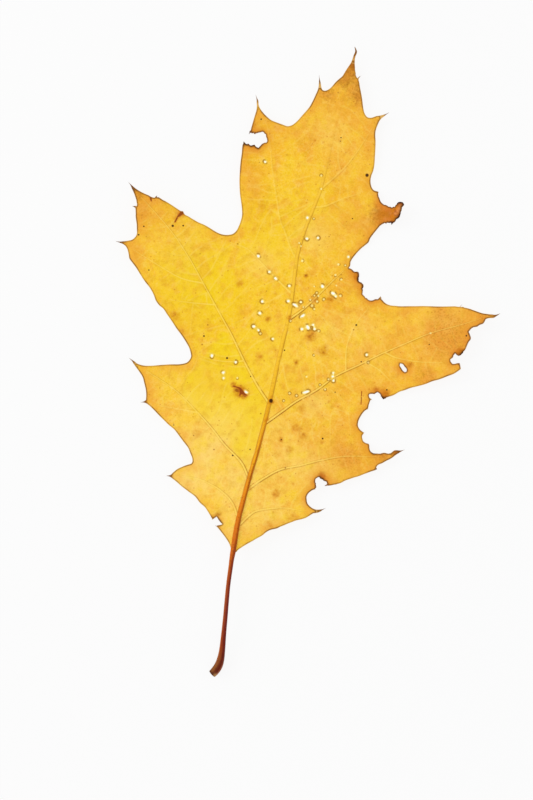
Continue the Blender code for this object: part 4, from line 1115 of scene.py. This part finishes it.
def blade_finish():
    """Gold with softer zones, veins, brown edges and the marks that insects left."""
    skin = Finish("autumn blade", GOLD)
    fade, mark = skin.fade, skin.mark
    edge = mark("edge_mm")
    hole = mark("hole_mm")
    gnawed = mark("gnawed")
    vein = mark("vein")
    force = mark("vein_force")
    across = mark("midrib")
    tip = mark("tip_mm")
    broad = skin.noise(21, 2)
    cloud = skin.noise(6.5, 4)
    fleck = skin.noise(2, 4)
    mottle = skin.noise(0.85, 3)
    grain = skin.noise(0.5, 2)
    bent = skin.node("ShaderNodeVectorMath", {"operation": "MULTIPLY_ADD"},
                     (skin.node("ShaderNodeTexNoise", {}, {"Vector": skin.place, "Scale": 0.9},
                                "Color"), (0.9, 0.9, 0.9), skin.place))
    net = skin.node("ShaderNodeTexVoronoi", {"feature": "DISTANCE_TO_EDGE"},
                    {"Vector": bent, "Scale": 1 / 1.25})
    freckles, freckle_dice = skin.scatter(3.6)
    dots, dot_dice = skin.scatter(1.3)

    # The ground: gold, with large soft tints, then finer blooms, flecks and grain
    skin.tint(fade(0.6 * cloud + 0.4 * broad, 0.4, 0.62), DEEP_GOLD)
    lemon = mark("lemon")
    skin.tint(lemon * fade(cloud, 0.1, 0.5), LEMON)
    skin.tint(mark("pale") * fade(broad + 0.5 * cloud, 0.4, 0.85), PALE_GOLD)
    amber = mark("amber")
    skin.tint(amber * (0.55 + 0.45 * fade(cloud, 0.35, 0.6)), AMBER)
    skin.tint(0.3 * fade(amber, 0.6, 1), ORANGE)
    plain = (1.0 - 0.75 * amber) * (1.0 - 0.7 * lemon)
    bloom = skin.noise(3.6, 2)
    calm = (1.0 - 0.4 * mark("pale")) * (1.0 - 0.55 * lemon)
    skin.tint(0.55 * calm * fade(bloom, 0.5, 0.66), AMBER)
    skin.tint(0.4 * plain * fade(bloom, 0.48, 0.3), LEMON)
    skin.tint(0.28 * fade(fleck, 0.48, 0.7), OLIVE)
    skin.tint(0.4 * plain * fade(fleck, 0.47, 0.3), PALE_GOLD)
    skin.tint(0.16 * plain * fade(net, 0.12, 0.02), VEIN_PALE)
    skin.tint(0.16 * calm * fade(grain, 0.5, 0.66), OLIVE)
    skin.tint(0.2 * plain * calm * fade(grain, 0.48, 0.32), PALE_GOLD)
    ladder = fade(mark("ladder_mm"), 0.4, 0.08) * fade(cloud, 0.35, 0.6)
    skin.tint(0.3 * (1.0 - 0.6 * amber) * ladder, VEIN_PALE)

    # Side veins: a pale ridge between thin brown lines, the line on each vein's right side drawn darker
    # as painted shade from the lamp on the left
    core = fade(vein, 1, 0.45) * force
    skin.tint(0.52 * core, VEIN_PALE)
    line = fade(vein, 0.55, 0.85) * fade(vein, 1.7, 1.25) * force
    # Painted shade: the brown line weighs double on each vein's right side, away from the lamp
    shaded_side_weight = 0.5 + 0.5 * fade(mark("vein_side"), -0.4, 0.4)
    skin.tint(line * shaded_side_weight * mark("vein_shade") * fade(fleck, 0.25, 0.5), VEIN_LINE)

    # The midrib: the stalk's colours with their darker right side, then two thin lines further up, the
    # right one darker partly as painted shade
    rib, streak = rib_colours(skin, across)
    rib = skin.mix(0.22 * fade(mottle, 0.5, 0.66), rib, HOLE_RIM)
    up = skin.along()
    fading = fade(up, TOP_RIB[0], TOP_RIB[1])
    skin.tint(fade(abs(across), 1.05, 0.86) * (0.1 + 0.9 * fading), rib)
    lines = fade(abs(across), 0.55, 0.85) * fade(abs(across), 1.35, 1.05)
    upper = fade(up, UPPER_RIB[0], UPPER_RIB[1])
    skin.tint(0.42 * lines * (1.0 - upper) * fade(streak, 0.3, 0.5), RIB_LINE)
    lines = lines * upper * fading
    # Painted shade, in part: the line on the midrib's right side, away from the lamp, is drawn darker
    # than the left one
    lines = lines * (0.35 + 0.65 * fade(across, 0.0, 0.1))
    skin.tint(0.55 * lines * fade(streak, 0.3, 0.5), VEIN_LINE)

    # Scorched zones, tips, gnawed edges and brown patches
    skin.tint(fade(edge, 4, 0.2) * (0.15 + 0.35 * fade(cloud, 0.4, 0.6)), AMBER)
    scorch = mark("scorch") * (0.55 + 0.9 * fleck)
    skin.tint(fade(scorch, 0.12, 0.85) * 0.95, SCORCH)
    skin.tint(0.8 * mark("scorch") * fade(mottle, 0.42, 0.6), HOLE_RIM)
    burnt = 0.35 * fade(amber, 0.6, 1.1) + 0.35 * fade(scorch, 0.1, 0.5)
    skin.tint(burnt * fade(grain, 0.5, 0.66), HOLE_RIM)
    skin.tint(0.8 * burnt * fade(mottle, 0.56, 0.68), SCORCH)
    skin.tint(fade(tip, 5.5, 1) * 0.5, ORANGE)
    skin.tint(gnawed * fade(edge + 2 * (cloud - 0.5), 3.2, 0.3) * 0.7, ORANGE)
    stain = mark("patch")
    skin.tint(fade(stain * (0.1 + 1.8 * mottle), 0.1, 0.65) * 0.65, OCHRE)
    skin.tint(fade(stain * (2.6 * mottle - 0.4), 0.45, 1.1) * 0.8, RUST)
    # Painted highlight along the rolled-over face of the curled tip
    skin.tint(mark("rolled"), ROLL_HIGHLIGHT)
    # Pin holes and windows: a pale lip or skin, with a browner ring on some sides
    hole_side = fade(skin.noise(1.5, 0), 0.42, 0.58)
    skin.tint(0.5 * fade(hole, 0.6, 0.3), CREAM)
    ring_round = fade(hole, 0.85, 0.4) * fade(hole, 0.1, 0.26)
    skin.tint(ring_round * (0.15 + 0.7 * hole_side), HOLE_RIM)
    skin.tint(0.9 * fade(hole, 0.24, 0.08), SKIN)
    window = mark("window")
    dark_side = fade(window, 1.7, 1.2) * fade(window, 0.5, 0.9) * hole_side
    skin.tint(0.75 * dark_side, HOLE_RIM)
    skin.tint(fade(window, 1.1, 0.35) * (0.9 - 0.25 * hole_side), SKIN)
    # Freckles, dots, specks and cracks
    spots = fade(freckles, 0.09, 0.05) * fade(freckle_dice, 0.62, 0.7)
    skin.tint(0.6 * spots, RUST)
    spots = fade(dots, 0.22, 0.1) * fade(dot_dice, 0.76 - 0.28 * amber, 0.84)
    skin.tint(0.42 * spots, SCORCH)
    skin.tint(0.95 * fade(mark("speck"), 1.15, 0.7), UMBER)
    skin.tint(0.6 * fade(mark("crack"), 2.6, 0.8), ORANGE)
    skin.tint(0.9 * fade(mark("crack"), 1.15, 0.6), RUST)

    # The rim
    brown = fade(edge, 0.55, 0.22) * (0.45 + 0.55 * fade(cloud, 0.4, 0.6))
    skin.tint(0.9 * brown, RIM)
    skin.tint(0.8 * fade(edge, 0.16, 0.02) * fade(tip, 2.5, 5), EDGE_LIGHT)
    skin.tint(gnawed * fade(edge + 0.7 * (mottle - 0.5), 0.55, 0.15), GNAWED_RIM)
    skin.tint(mark("charred") * fade(edge, 0.9, 0.35), UMBER)
    skin.tint(0.85 * fade(tip, 4.2, 1.8), RIM)

    rough = 0.5 + 0.16 * fade(fleck, 0.35, 0.7) + 0.2 * fade(stain, 0.2, 0.8)
    relief = 0.5 * fade(net, 0.16, 0.02) + 0.5 * grain + 0.6 * fleck
    return skin.complete(rough, relief, 0.35, 0.13)


def stalk_finish():
    """Red-brown bark, darker on its right side (partly painted shade), with a painted highlight along
    its left edge and a pale cut face at the foot.
    """
    bark = Finish("red-brown stalk")
    fade, mark = bark.fade, bark.mark
    across = mark("midrib")
    bark.colour, streak = rib_colours(bark, across)
    fleck = bark.noise(0.7, 4)
    bark.tint(0.4 * fade(fleck, 0.55, 0.72), UMBER)
    foot = mark("foot_mm")
    right = fade(across, 0.4, 0.85) * fade(foot, 8, 2)
    bark.tint(0.75 * right, FOOT_SIDE)
    bark.tint(0.75 * fade(abs(across - 0.02), 0.6, 0.15) * fade(foot, 6, 3), FOOT_MIDDLE)
    bark.tint(0.5 * mark("patch"), RUST)
    # Painted highlight: a lighter orange strip along the stalk's left edge, the side towards the lamp
    bark.tint(0.38 * fade(across, -0.6, -0.95) * fade(foot, 3, 9), ORANGE)
    bark.tint(0.6 * fade(foot, 1, 0.2), UMBER)
    bark.tint(0.85 * mark("scar"), CUT_FACE)
    bark.tint(mark("cut") * (0.55 + 0.45 * fleck), CUT_FACE)
    return bark.complete(0.38 + 0.25 * fade(fleck, 0.3, 0.7), streak + 0.4 * fleck, 0.5, 0.12)


def floor():
    """A plain pale table that glows evenly, as a light table does."""
    bpy.ops.object.select_all(action="DESELECT")
    bpy.ops.mesh.primitive_plane_add(size=FLOOR_SIZE, location=(0, 0, -0.05 * MM))
    table = bpy.context.view_layer.objects.active
    table.name = "floor"
    finish = Finish("pale table")
    for name, value in (("Base Color", (0.08, 0.08, 0.08, 1)), ("Roughness", 0.9),
                        ("Specular IOR Level", 0.0), ("Emission Color", (1, 1, 1, 1)),
                        ("Emission Strength", 0.89)):
        finish.shader.inputs[name].default_value = value
    table.data.materials.append(finish.material)


def light(name, place, size, power, aim):
    """A soft square light, turned towards the leaf."""
    lamp = bpy.data.lights.new(name, "AREA")
    lamp.size = size
    lamp.energy = power
    holder = bpy.data.objects.new(name, lamp)
    holder.location = place
    holder.rotation_euler = (Vector(aim) - Vector(place)).to_track_quat("-Z", "Y").to_euler()
    bpy.context.scene.collection.objects.link(holder)


def studio():
    """Even light from all round, a soft lamp on the left, and the camera straight above."""
    scene = bpy.context.scene
    world = bpy.data.worlds.new("soft studio")
    world.use_nodes = True
    world.node_tree.nodes["Background"].inputs["Color"].default_value = (1, 1, 1, 1)
    world.node_tree.nodes["Background"].inputs["Strength"].default_value = 0.86
    scene.world = world
    light("window", (-0.75, 0.15, 0.6), 0.5, 2.7, (0, 0, 0))
    scene.view_settings.view_transform = "Standard"

    eye = bpy.data.cameras.new("camera")
    eye.lens = 120
    eye.sensor_width = 36
    eye.clip_start = 0.01
    camera = bpy.data.objects.new("camera", eye)
    camera.location = (VIEW_MIDDLE[0] * MM + SHIFT[0] * MM, VIEW_MIDDLE[1] * MM + SHIFT[1] * MM,
                       EYE_HEIGHT)
    camera.rotation_euler = (0, 0, math.radians(PHOTO_TURN))
    scene.collection.objects.link(camera)
    scene.camera = camera


for piece, finish in ((blade(), blade_finish()), (stalk(), stalk_finish())):
    piece.data.materials.clear()
    piece.data.materials.append(finish)
    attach(piece, "root")
    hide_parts("leaf")
floor()
studio()
